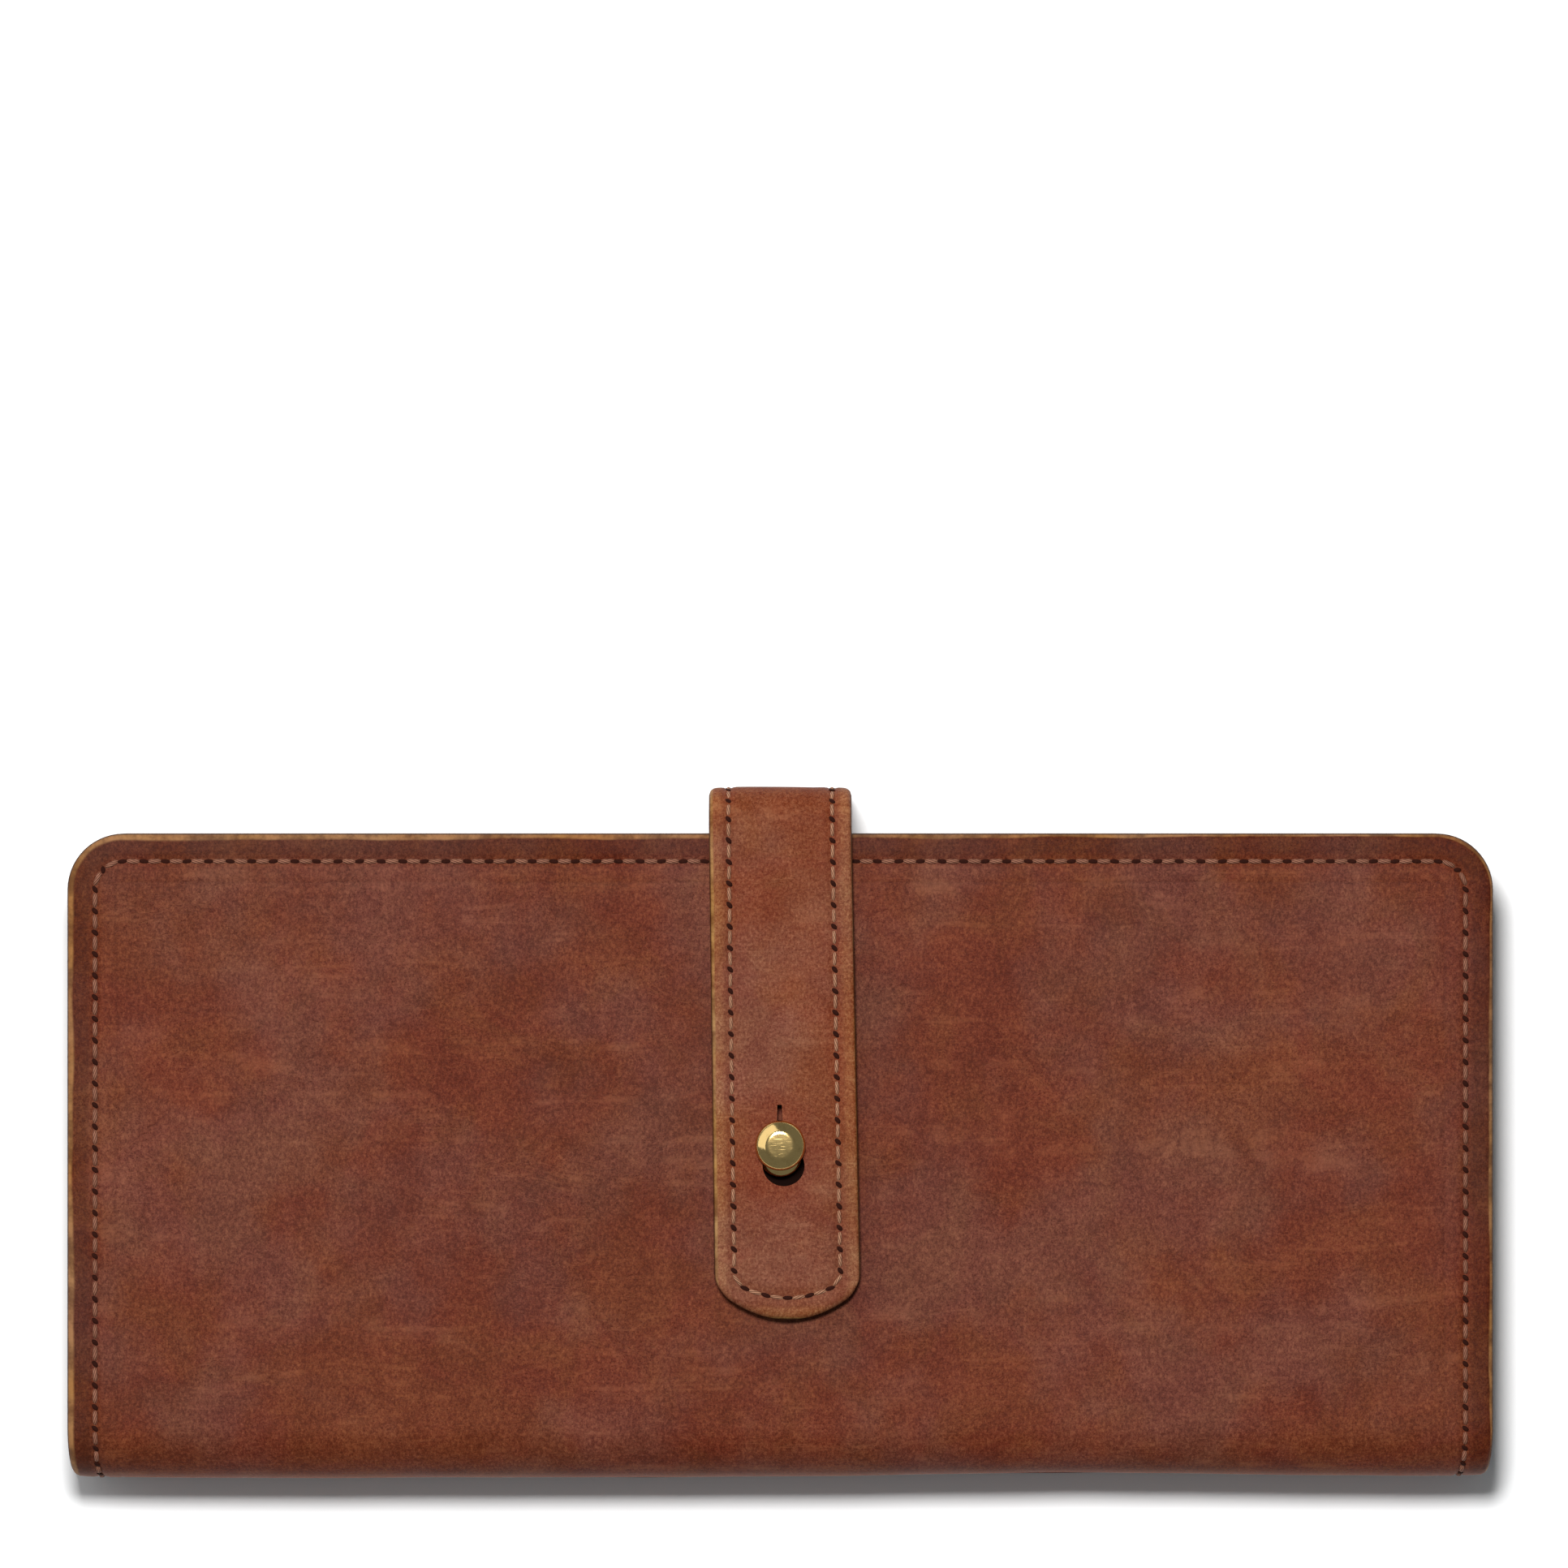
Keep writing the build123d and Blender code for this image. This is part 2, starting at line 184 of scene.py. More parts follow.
def flatBox(name, low, high):  # a plane from corner to corner
    middle = [(low[0] + high[0]) / 2, (low[1] + high[1]) / 2, low[2]]
    obj = begin(name, bpy.ops.mesh.primitive_plane_add, size=1, location=middle)
    obj.scale = (high[0] - low[0], high[1] - low[1], 1)
    return settle(obj)


def roll(obj, way):  # takes each point of the flat piece to its place
    for point in obj.data.vertices:
        way(point.co)


def bump(value, width):  # a smooth hill, 1 at 0
    return math.exp(-(value / width) ** 2)


def join(objs, name):
    bpy.ops.object.select_all(action="DESELECT")
    for obj in objs:
        obj.select_set(True)
    bpy.context.view_layer.objects.active = objs[0]
    bpy.ops.object.join()
    return settle(named(name))


# The cover: each half is cut flat, edged, and then rolled round the fold

cover = {
    "corner": 7.5 * mm,
    # cuts that follow the edge, mm inside it, closer where the edge, the seam and the crease bend the grain
    "rings": [0.05, 0.18, 0.4, 0.75, 1.2, 1.9, 2.6, 3.05, 3.3, 3.5, 3.7, 3.9, 4.1, 4.35, 4.8, 5.6, 6.1, 6.35,
              6.5, 6.65, 6.9],
    "edgeRound": 0.8 * mm,
    "edgeSag": 0.3 * mm,
    "sagWidth": 2.2 * mm,
    "seamInset": 3.7 * mm,
    "seamDepth": 0.32 * mm,
    "seamWidth": 0.55 * mm,
    "seamEnd": 1.2 * mm,
    "creaseInset": 6.5 * mm,
    "creaseDepth": 0.05 * mm,
    "creaseWidth": 0.24 * mm,
    "wave": 0.22 * mm,
    "waveSize": 34 * mm,
    "waveFade": 9 * mm,
    "gridPitch": 4 * mm,
    "foldPitch": 0.8 * mm,
    "taper": 0.009,
    "arch": 0.6 * mm,
    "archX": 48 * mm,
    "archWidth": 42 * mm,
}


def insideBy(x, y, half, top, corner):  # how far a point lies inside the outline's three sides
    overX = abs(x) - half + corner
    overY = y - top + corner
    outside = math.hypot(max(overX, 0), max(overY, 0)) + min(max(overX, overY), 0)
    return corner - outside


def coverHeight(x, y, seed):  # how far the grain side stands from its flat height
    d = insideBy(x, y, halfWidth, topY, cover["corner"])
    r = cover["edgeRound"]
    drop = r - math.sqrt(max(0, r * r - max(0, r - d) ** 2))
    drop += cover["edgeSag"] * math.exp(-d / cover["sagWidth"])
    drop += cover["seamDepth"] * bump(d - cover["seamInset"], cover["seamWidth"])
    drop += cover["creaseDepth"] * bump(d - cover["creaseInset"], cover["creaseWidth"])
    size = cover["waveSize"]
    wave = noise.noise(Vector((x / size, y / size * 1.6, seed)))
    wave += 0.4 * noise.noise(Vector((x / size * 3, y / size * 5, seed + 9)))
    return cover["wave"] * wave * min(1, d / cover["waveFade"]) - drop


def rollCover(point):  # a flat point, taken round the fold at the front's edge
    v, depth = point.y, topZ - point.z
    fromStart = foldStart - v
    if fromStart <= 0:
        return
    share = min(1, fromStart / foldArc)
    point.x *= 1 - cover["taper"] * share * share
    pulled = cover["arch"] * share * bump(point.x - cover["archX"], cover["archWidth"])
    r = foldRadius - depth
    if fromStart < foldArc:
        turn = fromStart / foldRadius
        point.y = foldStart - r * math.sin(turn)
        point.z = topZ - foldRadius + r * math.cos(turn)
    else:
        point.y = foldY + depth
        point.z = topZ - foldRadius - (fromStart - foldArc)
    point.y += pulled


def turnOver(obj, low, high):  # mirrors it between two heights
    for point in obj.data.vertices:
        point.co.z = low + high - point.co.z
    flipNormals(obj)


def mirrorHalf(obj):  # the back half is the front half turned over about the middle
    turnOver(obj, 0, topZ)


def coverHalf(name, seed):
    sheet = flatBox(name, (-halfWidth, spineMiddle - 12 * mm, topZ), (halfWidth, topY, topZ))
    edit(sheet, "VERT")
    pick(sheet, lambda co: co.y > topY - mm)
    bpy.ops.mesh.bevel(offset=cover["corner"], segments=14, affect="VERTICES")
    bpy.ops.mesh.select_mode(type="FACE")
    bpy.ops.mesh.select_all(action="SELECT")
    last = 0
    for ring in cover["rings"]:
        bpy.ops.mesh.inset(thickness=(ring - last) * mm, depth=0)
        last = ring
    bpy.ops.mesh.select_all(action="SELECT")
    bpy.ops.mesh.bisect(plane_co=(0, spineMiddle, 0), plane_no=(0, 1, 0), clear_inner=True)
    done()
    cutAcross(sheet, steps(-halfWidth, halfWidth, cover["gridPitch"]), "x")
    cutAcross(sheet, steps(foldStart, topY, cover["gridPitch"]), "y")
    cutAcross(sheet, steps(spineMiddle, foldStart + mm, cover["foldPitch"]), "y")
    thicken(sheet, hide)
    keepFlat(sheet)
    for point in sheet.data.vertices:
        if point.co.z > topZ - hide / 2:
            point.co.z += coverHeight(point.co.x, point.co.y, seed)
        rollCover(point.co)
    smooth(sheet, 60)
    return sheet


coverFront = coverHalf("cover_front_half", 3.0)
coverBack = coverHalf("cover_back_half", 8.0)
mirrorHalf(coverBack)
for point in coverBack.data.vertices:
    point.co.z = max(0, point.co.z)  # it rests on the table
print("cover halves:", len(coverFront.data.polygons), "faces each")

# Thread: one stitch is modelled and copied along the seam

stitch = {
    "pitch": 2.88 * mm,
    "length": 2.25 * mm,
    "width": 0.66 * mm,
    "strapWidth": 0.5 * mm,
    "rise": 0.16 * mm,
    "sides": 8,
    "cuts": 7,
}


def oneStitch(name, width):
    thread = settle(begin(
        name, bpy.ops.mesh.primitive_cylinder_add, vertices=stitch["sides"], radius=width / 2,
        depth=stitch["length"], rotation=(0, math.pi / 2, 0)))
    half = stitch["length"] / 2
    cutAcross(thread, steps(-half, half, stitch["length"] / stitch["cuts"]), "x")
    for point in thread.data.vertices:
        share = abs(point.co.x) / half
        thin = 1 - 0.45 * share ** 4
        point.co.y *= thin
        point.co.z = point.co.z * thin * 0.8 - stitch["rise"] * 3.2 * share ** 3
    smooth(thread, 80)
    return thread


def runLength(path):
    return sum((b - a).length for a, b in zip(path, path[1:]))


def along(path, distance):  # point and direction at a distance along a path
    for a, b in zip(path, path[1:]):
        length = (b - a).length
        if distance <= length or b is path[-1]:
            return a.lerp(b, distance / length), (b - a).normalized()
        distance -= length


def arcPoints(middle, radius, first, last, count=12):
    turns = [math.radians(first + (last - first) * n / count) for n in range(count + 1)]
    return [Vector((middle[0] + radius * math.cos(t), middle[1] + radius * math.sin(t), 0)) for t in turns]


def seamCopies(template, path, name, height, shift=0.5, turn=0):  # shift 0.5 is a stitch's middle
    total = runLength(path)
    count = round(total / stitch["pitch"])
    copies = []
    for number in range(count if shift else count + 1):
        spot, direction = along(path, total * (number + shift) / count)
        copy = copyOf(template)
        angle = math.atan2(direction.y, direction.x)
        grow = Matrix.Identity(4)
        if abs(direction.x) < 0.7:
            angle += turn  # the awl was held at one slant down both sides
        elif not shift:
            grow = Matrix.Diagonal((holeShape["drawnOut"], holeShape["narrowed"], 1, 1))
        wander = 0.05 * math.sin(number * 2.4) if shift else 0.12 * math.sin(number * 1.7)
        heading = Matrix.Rotation(angle + wander, 4, "Z")
        copy.matrix_world = Matrix.Translation((spot.x, spot.y, height)) @ heading @ grow
        copies.append(copy)
    return join(copies, name)


def coverSeamPath():
    side = halfWidth - cover["seamInset"]
    high = topY - cover["seamInset"]
    low = spineMiddle + cover["seamEnd"]
    r = cover["corner"] - cover["seamInset"]
    path = [Vector((-side, low, 0)), *arcPoints((-side + r, high - r), r, 180, 90)]
    return path + [*arcPoints((side - r, high - r), r, 90, 0), Vector((side, low, 0))]


stitchMaster = oneStitch("stitch", stitch["width"])
strapStitch = oneStitch("strap_stitch", stitch["strapWidth"])

# The hole that each stitch goes down: a small dish pressed into the grain, painted dark for the shade inside
# the hole
holeShape = {"long": 0.54 * mm, "wide": 0.31 * mm, "deep": 0.14 * mm, "drawnOut": 1.25, "narrowed": 0.95}


def oneHole(name):
    hole = begin(name, bpy.ops.mesh.primitive_uv_sphere_add, segments=12, ring_count=6, radius=1)
    smooth(hole, 80)
    hole.scale = (holeShape["long"], holeShape["wide"], holeShape["deep"])
    return settle(hole)


holeMaster = oneHole("awl_hole")
seamPath = coverSeamPath()
seamZ = topZ - cover["seamDepth"]


def coverSeam(half, back):
    thread = seamCopies(stitchMaster, seamPath, f"{half}_thread", seamZ + 0.1 * mm)
    holes = seamCopies(
        holeMaster, seamPath, f"{half}_holes", seamZ + 0.05 * mm, shift=0, turn=math.radians(45))
    for piece in (thread, holes):
        keepFlat(piece)
        roll(piece, rollCover)
        if back:
            mirrorHalf(piece)
    return thread, holes


frontThread, frontHoles = coverSeam("front", False)
backThread, backHoles = coverSeam("back", True)
print("cover seams sewn")

# The strap: cut flat with both layers, then turned up past the open edge and over it

strap = {
    "half": (riserHigh.x - riserLow.x) / 2,
    "thickness": tabHigh.z - liningLow.z,
    "bend": riserHigh.y - tabHigh.y,
    "root": 20 * mm,
    "tipRise": 4.1 * mm,
    "tipCorner": 2.1 * mm,
    "seamInset": 2.6 * mm,
    "seamDepth": 0.3 * mm,
    "edgeRound": 0.5 * mm,
    "bendRound": 0.55 * mm,
    "bendReach": 9 * mm,
    "edgeSag": 0.22 * mm,
    "sagWidth": 1.6 * mm,
    "seamWidth": 0.5 * mm,
    "tipSeamInset": 2.9 * mm,
    "tipSeamCurve": 0.9,
    "seamCornerCut": 0.9 * mm,
    "lean": math.radians(0.9),
    "widening": 0.026,
    "columns": 44,
    "rowPitch": 0.55 * mm,
    "wave": 0.12 * mm,
    "waveFade": 3 * mm,
}
strapTopZ, strapLowZ, strapOutY, strapStartY = tabHigh.z, riserLow.z, riserHigh.y, tabHigh.y
bendArc = strap["bend"] * math.pi / 2
riserLength = strapTopZ - strapLowZ - 2 * strap["bend"]
rootV = -(strapStartY - topY + strap["root"])  # measured along the outer face from the lower bend
riserMidV = bendArc + riserLength / 2
tabV = 2 * bendArc + riserLength  # where the flat tab starts
tipV = tabV + strapStartY - tabLow.y


def strapTip(x):  # how far along the strap its end lies, at x
    side = min(1, abs(x) / strap["half"])
    arc = strap["tipRise"] * side * side
    corner = strap["tipCorner"]
    over = max(0, abs(x) - strap["half"] + corner)
    return tipV - arc - (corner - math.sqrt(max(0, corner * corner - over * over)))


def rollStrap(point):
    v, depth = point.y, -point.z
    r = strap["bend"] - depth
    if v < 0:
        point.y, point.z = strapStartY + v, strapLowZ + depth
    elif v < bendArc:
        turn = v / strap["bend"]
        point.y = strapStartY + r * math.sin(turn)
        point.z = strapLowZ + strap["bend"] - r * math.cos(turn)
    elif v < bendArc + riserLength:
        point.y, point.z = strapOutY - depth, strapLowZ + strap["bend"] + v - bendArc
    elif v < tabV:
        turn = (v - bendArc - riserLength) / strap["bend"]
        point.y = strapStartY + r * math.cos(turn)
        point.z = strapTopZ - strap["bend"] + r * math.sin(turn)
    else:
        point.x *= 1 + strap["widening"] * (v - tabV) / (tipV - tabV)
        point.x += (v - tabV) * math.tan(strap["lean"])
        point.y, point.z = strapStartY - (v - tabV), strapTopZ - depth


def tipSeamAt(x):
    return tipV - strap["tipRise"] * strap["tipSeamCurve"] * (x / strap["half"]) ** 2 - strap["tipSeamInset"]


def strapHeight(x, v, hasTip):
    d = strap["half"] - abs(x)
    if hasTip:
        d = min(d, (strapTip(x) - v) * 0.93)
    d = max(0, d)
    r = strap["edgeRound"] + strap["bendRound"] * bump(v - riserMidV, strap["bendReach"])
    drop = r - math.sqrt(max(0, r * r - max(0, r - d) ** 2))
    drop += strap["edgeSag"] * math.exp(-d / strap["sagWidth"])
    sideSeam = strap["half"] - abs(x) - strap["seamInset"]
    seam = bump(sideSeam, strap["seamWidth"])
    if hasTip and v > tipV - 8 * mm:
        tipSeam = tipSeamAt(x) - v
        atTip = bump(tipSeam, strap["seamWidth"]) * (sideSeam > -0.2 * mm)
        seam = seam * (tipSeam > -0.2 * mm) + atTip
    drop += strap["seamDepth"] * min(1, seam)
    wave = noise.noise(Vector((x / (9 * mm), v / (14 * mm), 2.0)))
    return strap["wave"] * wave * min(1, d / strap["waveFade"]) - drop


keyholeShape = {
    "radius": 2.75 * mm,
    "aside": 0.4 * mm,  # the round hole's middle, from the stud
    "below": 2.7 * mm,
    "neck": 1.75 * mm,
    "slitLength": 8.2 * mm,
    "slitMiddle": 1.3 * mm,
    "slitEnd": 0.3 * mm,
    "cutDepth": 8 * mm,
}


def keyhole(obj):  # a round hole with a slit that the stud's neck has spread, cut while the strap is flat
    neck, deep = keyholeShape["neck"], keyholeShape["cutDepth"]
    studV = tabV + strapStartY - studY
    lean = (studV - tabV) * math.tan(strap["lean"])
    middle = (studX + keyholeShape["aside"] - lean, studV + keyholeShape["below"], 0)
    hole = settle(begin(
        "keyhole_cutter", bpy.ops.mesh.primitive_cylinder_add, vertices=48,
        radius=keyholeShape["radius"], depth=deep, location=middle))
    finishWith(obj, "BOOLEAN", object=hole, operation="DIFFERENCE", solver="EXACT")
    bpy.data.objects.remove(hole)
    middle = (studX - lean, studV - keyholeShape["slitMiddle"], 0)
    slit = begin("slit_cutter", bpy.ops.mesh.primitive_cube_add, size=1, location=middle)
    slit.scale = (2, keyholeShape["slitLength"], deep)
    settle(slit)
    # half widths of the slit, spread by the stud's neck and closing above it
    widths = [(-0.4 * mm, neck), (-1.5 * mm, 0.95 * mm), (-2.6 * mm, 0.46 * mm), (-3.8 * mm, 0.36 * mm)]
    cutAcross(slit, [studV + place for place, width in widths], "y")
    for point in slit.data.vertices:
        reach = neck if point.co.y > studV else keyholeShape["slitEnd"]
        for place, width in widths:
            if abs(point.co.y - studV - place) < 0.05 * mm:
                reach = width
        point.co.x = studX - lean + math.copysign(reach, point.co.x - studX + lean)
    finishWith(obj, "BOOLEAN", object=slit, operation="DIFFERENCE", solver="EXACT")
    bpy.data.objects.remove(slit)


def strapLength(name, startV, endV, hasTip):
    rows = round((endV - startV) / strap["rowPitch"])
    columns = strap["columns"]
    piece = begin(name, bpy.ops.mesh.primitive_grid_add, x_subdivisions=columns, y_subdivisions=rows, size=2)
    for point in piece.data.vertices:
        across, share = point.co.x, (point.co.y + 1) / 2
        x = strap["half"] * (1.3 * across - 0.3 * across ** 3)
        bendFrom = endV - 12 * mm
        v = startV + (endV - startV) * share
        if hasTip and v > bendFrom:
            v = bendFrom + (strapTip(x) - bendFrom) * (v - bendFrom) / (endV - bendFrom)
        point.co = (x, v, 0)
    thicken(piece, strap["thickness"])
    if hasTip:
        keyhole(piece)
    keepFlat(piece)
    for point in piece.data.vertices:
        if point.co.z > -mm:
            point.co.z += strapHeight(point.co.x, point.co.y, hasTip)
        elif point.co.y < topY - strapStartY:  # only the outer layer is sewn in under the cover
            point.co.z = -strap["thickness"] / 2
        else:
            point.co.z -= strapHeight(point.co.x, point.co.y, hasTip) * 0.4
        rollStrap(point.co)
    smooth(piece, 60)
    return piece


strapLower = strapLength("strap_lower", rootV, riserMidV, False)
strapUpper = strapLength("strap_upper", riserMidV, tipV, True)


def strapSeamPath(startV, endV):  # two sides, or one path round the tip where endV is None
    side = strap["half"] - strap["seamInset"]
    if endV is not None:
        return [[Vector((x, startV, 0)), Vector((x, endV, 0))] for x in (-side, side)]
    turnV = tipSeamAt(side) - strap["seamCornerCut"]  # the seam cuts its corners
    across = [side * (number / 6 - 1) for number in range(1, 12)]
    tip = [Vector((x, tipSeamAt(x), 0)) for x in across]
    left = [Vector((-side, startV, 0)), Vector((-side, turnV, 0))]
    return [[*left, *tip, Vector((side, turnV, 0)), Vector((side, startV, 0))]]


def strapSeam(name, startV, endV, liningV):  # sewn right through, so it shows on both faces
    pieces = []
    kinds = ((strapStitch, 0.5, 0.1 * mm, 0), (holeMaster, 0, 0.06 * mm, math.radians(-45)))
    for template, shift, lift, turn in kinds:
        height = lift - strap["seamDepth"]
        runs = []
        for face, firstV in (("outer", startV), ("lining", liningV)):
            for number, path in enumerate(strapSeamPath(firstV, endV)):
                run = seamCopies(template, path, f"{name}_{face}_{number}", height, shift, turn)
                if face == "lining":
                    turnOver(run, -strap["thickness"], 0)
                runs.append(run)
        piece = join(runs, name + ("_thread" if shift else "_holes"))
        keepFlat(piece)
        roll(piece, rollStrap)
        pieces.append(piece)
    return pieces


lowerThread, lowerHoles = strapSeam("strap_lower", rootV + 8 * mm, riserMidV - 0.2 * mm, 0.3 * mm)
upperThread, upperHoles = strapSeam("strap_upper", riserMidV + 0.2 * mm, None, riserMidV + 0.2 * mm)
print("strap sewn")

# The brass stud: turned by spinning a profile round its axis

stud = {
    "steps": 64,
    # radius and height above the cover, mm
    "head": [(0, 5.3), (1.5, 5.3), (1.84, 5.28), (2.04, 5.21), (2.3, 5.05), (2.62, 4.84), (2.94, 4.6),
             (3.17, 4.38), (3.3, 4.18), (3.34, 3.98), (3.3, 3.74), (3.14, 3.5), (2.75, 3.3), (2.1, 3.14),
             (1.65, 2.95), (1.52, 2.7), (1.52, 2.2), (1.62, 2.04), (2.2, 2.0), (2.76, 1.94), (2.9, 1.78),
             (2.94, 1.5), (2.9, 1.2), (2.76, 1.04), (1.9, 0.98), (1.58, 0.8), (1.58, -1.0), (0, -1.0)],
    "lean": 1.25 * mm,
    "neckLow": 1.9 * mm,
    "neckRun": 1.2 * mm,
    "washer": [(1.66, 0.02), (2.38, 0.02), (2.44, 0.1), (2.44, 0.24), (2.34, 0.36), (2.2, 0.4), (1.66, 0.4)],
}


def turned(name, profile, base, closed):
    piece = begin(name, bpy.ops.mesh.primitive_circle_add, vertices=len(profile), radius=1)
    for point, (radius, height) in zip(piece.data.vertices, profile):
        point.co = (studX + radius * mm, studY, base + height * mm)
    edit(piece, "EDGE")
    if not closed:
        mesh = bmesh.from_edit_mesh(piece.data)
        mesh.edges.ensure_lookup_table()
        loose = [e for e in mesh.edges if all(abs(v.co.x - studX) < 1e-7 for v in e.verts)]
        bmesh.ops.delete(mesh, geom=loose, context="EDGES_FACES")
        bmesh.update_edit_mesh(piece.data)
    bpy.ops.mesh.select_all(action="SELECT")
    bpy.ops.mesh.spin(steps=stud["steps"], angle=2 * math.pi, center=(studX, studY, 0), axis=(0, 0, 1))
    bpy.ops.mesh.select_all(action="SELECT")
    bpy.ops.mesh.remove_doubles(threshold=1e-6)
    bpy.ops.mesh.normals_make_consistent(inside=False)
    done()
    for point in piece.data.vertices:  # the strap's pull leans the neck towards the open edge
        share = min(1, max(0, (point.co.z - base - stud["neckLow"]) / stud["neckRun"]))
        point.co.y -= 0 if closed else stud["lean"] * (1 - share * share * (3 - 2 * share))
    smooth(piece, 50)
    return piece


studHead = turned("stud_button", stud["head"], topZ, False)
studWasher = turned("stud_ring", stud["washer"], topZ, True)
print("stud turned")


# The inside: linings, bill walls, card slots and the coin pocket's panels, each cut flat

inner = {
    "rings": [0.12, 0.3, 0.6, 1.2, 1.7, 2.0, 2.3, 2.9],
    "pitch": 5 * mm,
    "round": 0.3 * mm,
    "crease": 2.0 * mm,
    "creaseDepth": 0.1 * mm,
    "middleDip": 0.18 * mm,
    "wave": 0.07 * mm,
    "clothWave": 0.03 * mm,
    "welt": 5 * mm,
    "seamInset": 2.2 * mm,
    "zipEnd": 76.6 * mm,
    "zipEndStep": 0.25 * mm,
    "lining": 0.5 * mm,
    "noRim": 5,  # mm, for a piece that shows no cut edge
}


def innerPanel(node, facing, corner=0, soft=False, seamed=False):
    low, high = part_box(node)
    piece = flatBox(node + "_piece", (low.x, low.y, high.z), (high.x, high.y, high.z))
    if corner:
        edit(piece, "VERT")
        pick(piece, lambda co: co.y > high.y - mm)
        bpy.ops.mesh.bevel(offset=corner, segments=10, affect="VERTICES")
        done()
    edit(piece)
    last = 0
    narrow = min(high.x - low.x, high.y - low.y) < 8 * mm
    for ring in inner["rings"][:4 if narrow else None]:
        bpy.ops.mesh.inset(thickness=(ring - last) * mm, depth=0)
        last = ring
    done()
    middle = [-1.2 * mm, -0.6 * mm, -0.25 * mm, 0, 0.25 * mm, 0.6 * mm, 1.2 * mm] if seamed else []
    cutAcross(piece, steps(low.x, high.x, inner["pitch"]) + middle, "x")
    cutAcross(piece, steps(low.y, high.y, inner["pitch"]), "y")
    thicken(piece, high.z - low.z)
    keepFlat(piece)
    r = min(inner["round"], (high.z - low.z) / 2)
    half, length = (high.x - low.x) / 2, high.y - low.y

    def within(co):  # 0 on the underside
        y = co.y - low.y
        return min(insideBy(co.x, y, half, length, corner), max(y, 0)) if co.z > (low.z + high.z) / 2 else 0

    keepInside(piece, lambda co: within(co) / mm)
    for point in piece.data.vertices:
        if point.co.z < (low.z + high.z) / 2:
            continue
        x, y, d = point.co.x, point.co.y - low.y, within(point.co)
        drop = r - math.sqrt(max(0, r * r - max(0, r - d) ** 2))
        if not soft:
            drop += inner["creaseDepth"] * bump(length - y - inner["crease"], 0.3 * mm)
        if seamed:
            drop += inner["middleDip"] * bump(x, 0.5 * mm)
        wave = noise.noise(Vector((x / (30 * mm), y / (22 * mm), high.z / mm)))
        swell = inner["clothWave"] if soft else inner["wave"]
        point.co.z += swell * (wave - 0.5) * min(1, d / (4 * mm)) - drop
    if facing < 0:
        turnOver(piece, low.z, high.z)
    smooth(piece, 50)
    return piece


halves = (("front", -1), ("back", 1))
linings = [innerPanel(half + "_lining", facing, cover["corner"], soft=True) for half, facing in halves]
walls = [innerPanel(half + "_bill_wall", facing, cover["corner"]) for half, facing in halves]
slotNodes = sorted(name for name in nodes if name.startswith("card_slot"))
slots = [innerPanel(name, -1, seamed=True) for name in slotNodes]
coinBag = innerPanel("coin_bag", 1, soft=True)
coinPanels = [innerPanel(f"coin_panel_{half}", 1) for half in ("lower", "upper")]
tapes = [innerPanel(f"zip_tape_{half}", 1, soft=True) for half in ("lower", "upper")]


def coinWelt():  # the raised leather frame that gives the coin pocket its depth
    low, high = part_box("coin_gusset")
    piece = flatBox("coin_gusset_piece", (low.x, low.y, high.z), (high.x, high.y, high.z))
    edit(piece)
    bpy.ops.mesh.inset(thickness=inner["welt"], depth=0)
    bpy.ops.mesh.delete(type="FACE")
    thicken(piece, high.z - low.z)
    finishWith(piece, "BEVEL", width=0.25 * mm, segments=3)
    keepFlat(piece)
    keepInside(piece, lambda co: inner["noRim"])
    smooth(piece, 50)
    return piece


welt = coinWelt()


def spineCloth(name, back):  # the lining goes round inside the fold, in two halves like the cover
    low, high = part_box("spine_lining")
    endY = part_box("front_lining")[0].y
    piece = flatBox(name, (low.x, spineMiddle, topZ - hide), (high.x, endY, topZ - hide))
    cutAcross(piece, steps(low.x, high.x, inner["pitch"]), "x")
    cutAcross(piece, steps(spineMiddle, foldStart, cover["foldPitch"]), "y")
    thicken(piece, inner["lining"])
    keepFlat(piece)
    keepInside(piece, lambda co: inner["noRim"])
    roll(piece, rollCover)
    if back:
        mirrorHalf(piece)
    smooth(piece, 50)
    return piece


spineCloths = [spineCloth("spine_cloth_front", False), spineCloth("spine_cloth_back", True)]


def straightSeam(name, start, end, height, facing):
    piece = seamCopies(stitchMaster, [Vector((*start, 0)), Vector((*end, 0))], name, height)
    if facing < 0:
        turnOver(piece, height, height)
    keepFlat(piece)
    return piece


cardSeams = []
for number, name in enumerate(slotNodes):
    low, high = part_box(name)
    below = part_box(slotNodes[number + 1])[1].y if name != slotNodes[-1] else low.y
    seamPlace = low.z + inner["middleDip"] * 0.6
    start, end = (0, high.y - 0.4 * mm), (0, below + 0.4 * mm)
    cardSeams.append(straightSeam(f"card_seam_{number + 1}", start, end, seamPlace, -1))
cardSeam = join(cardSeams, "card_seam")
coinSeams = []
for panel, side in (("coin_panel_lower", 1), ("coin_panel_upper", -1)):
    low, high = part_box(panel)
    y = high.y - inner["seamInset"] if side > 0 else low.y + inner["seamInset"]
    start, end = (low.x + 4 * mm, y), (high.x - 4 * mm, y)
    coinSeams.append(straightSeam(panel + "_seam", start, end, high.z - 0.06 * mm, 1))
coinSeam = join(coinSeams, "coin_seam")
for master in (stitchMaster, strapStitch, holeMaster):
    bpy.data.objects.remove(master)


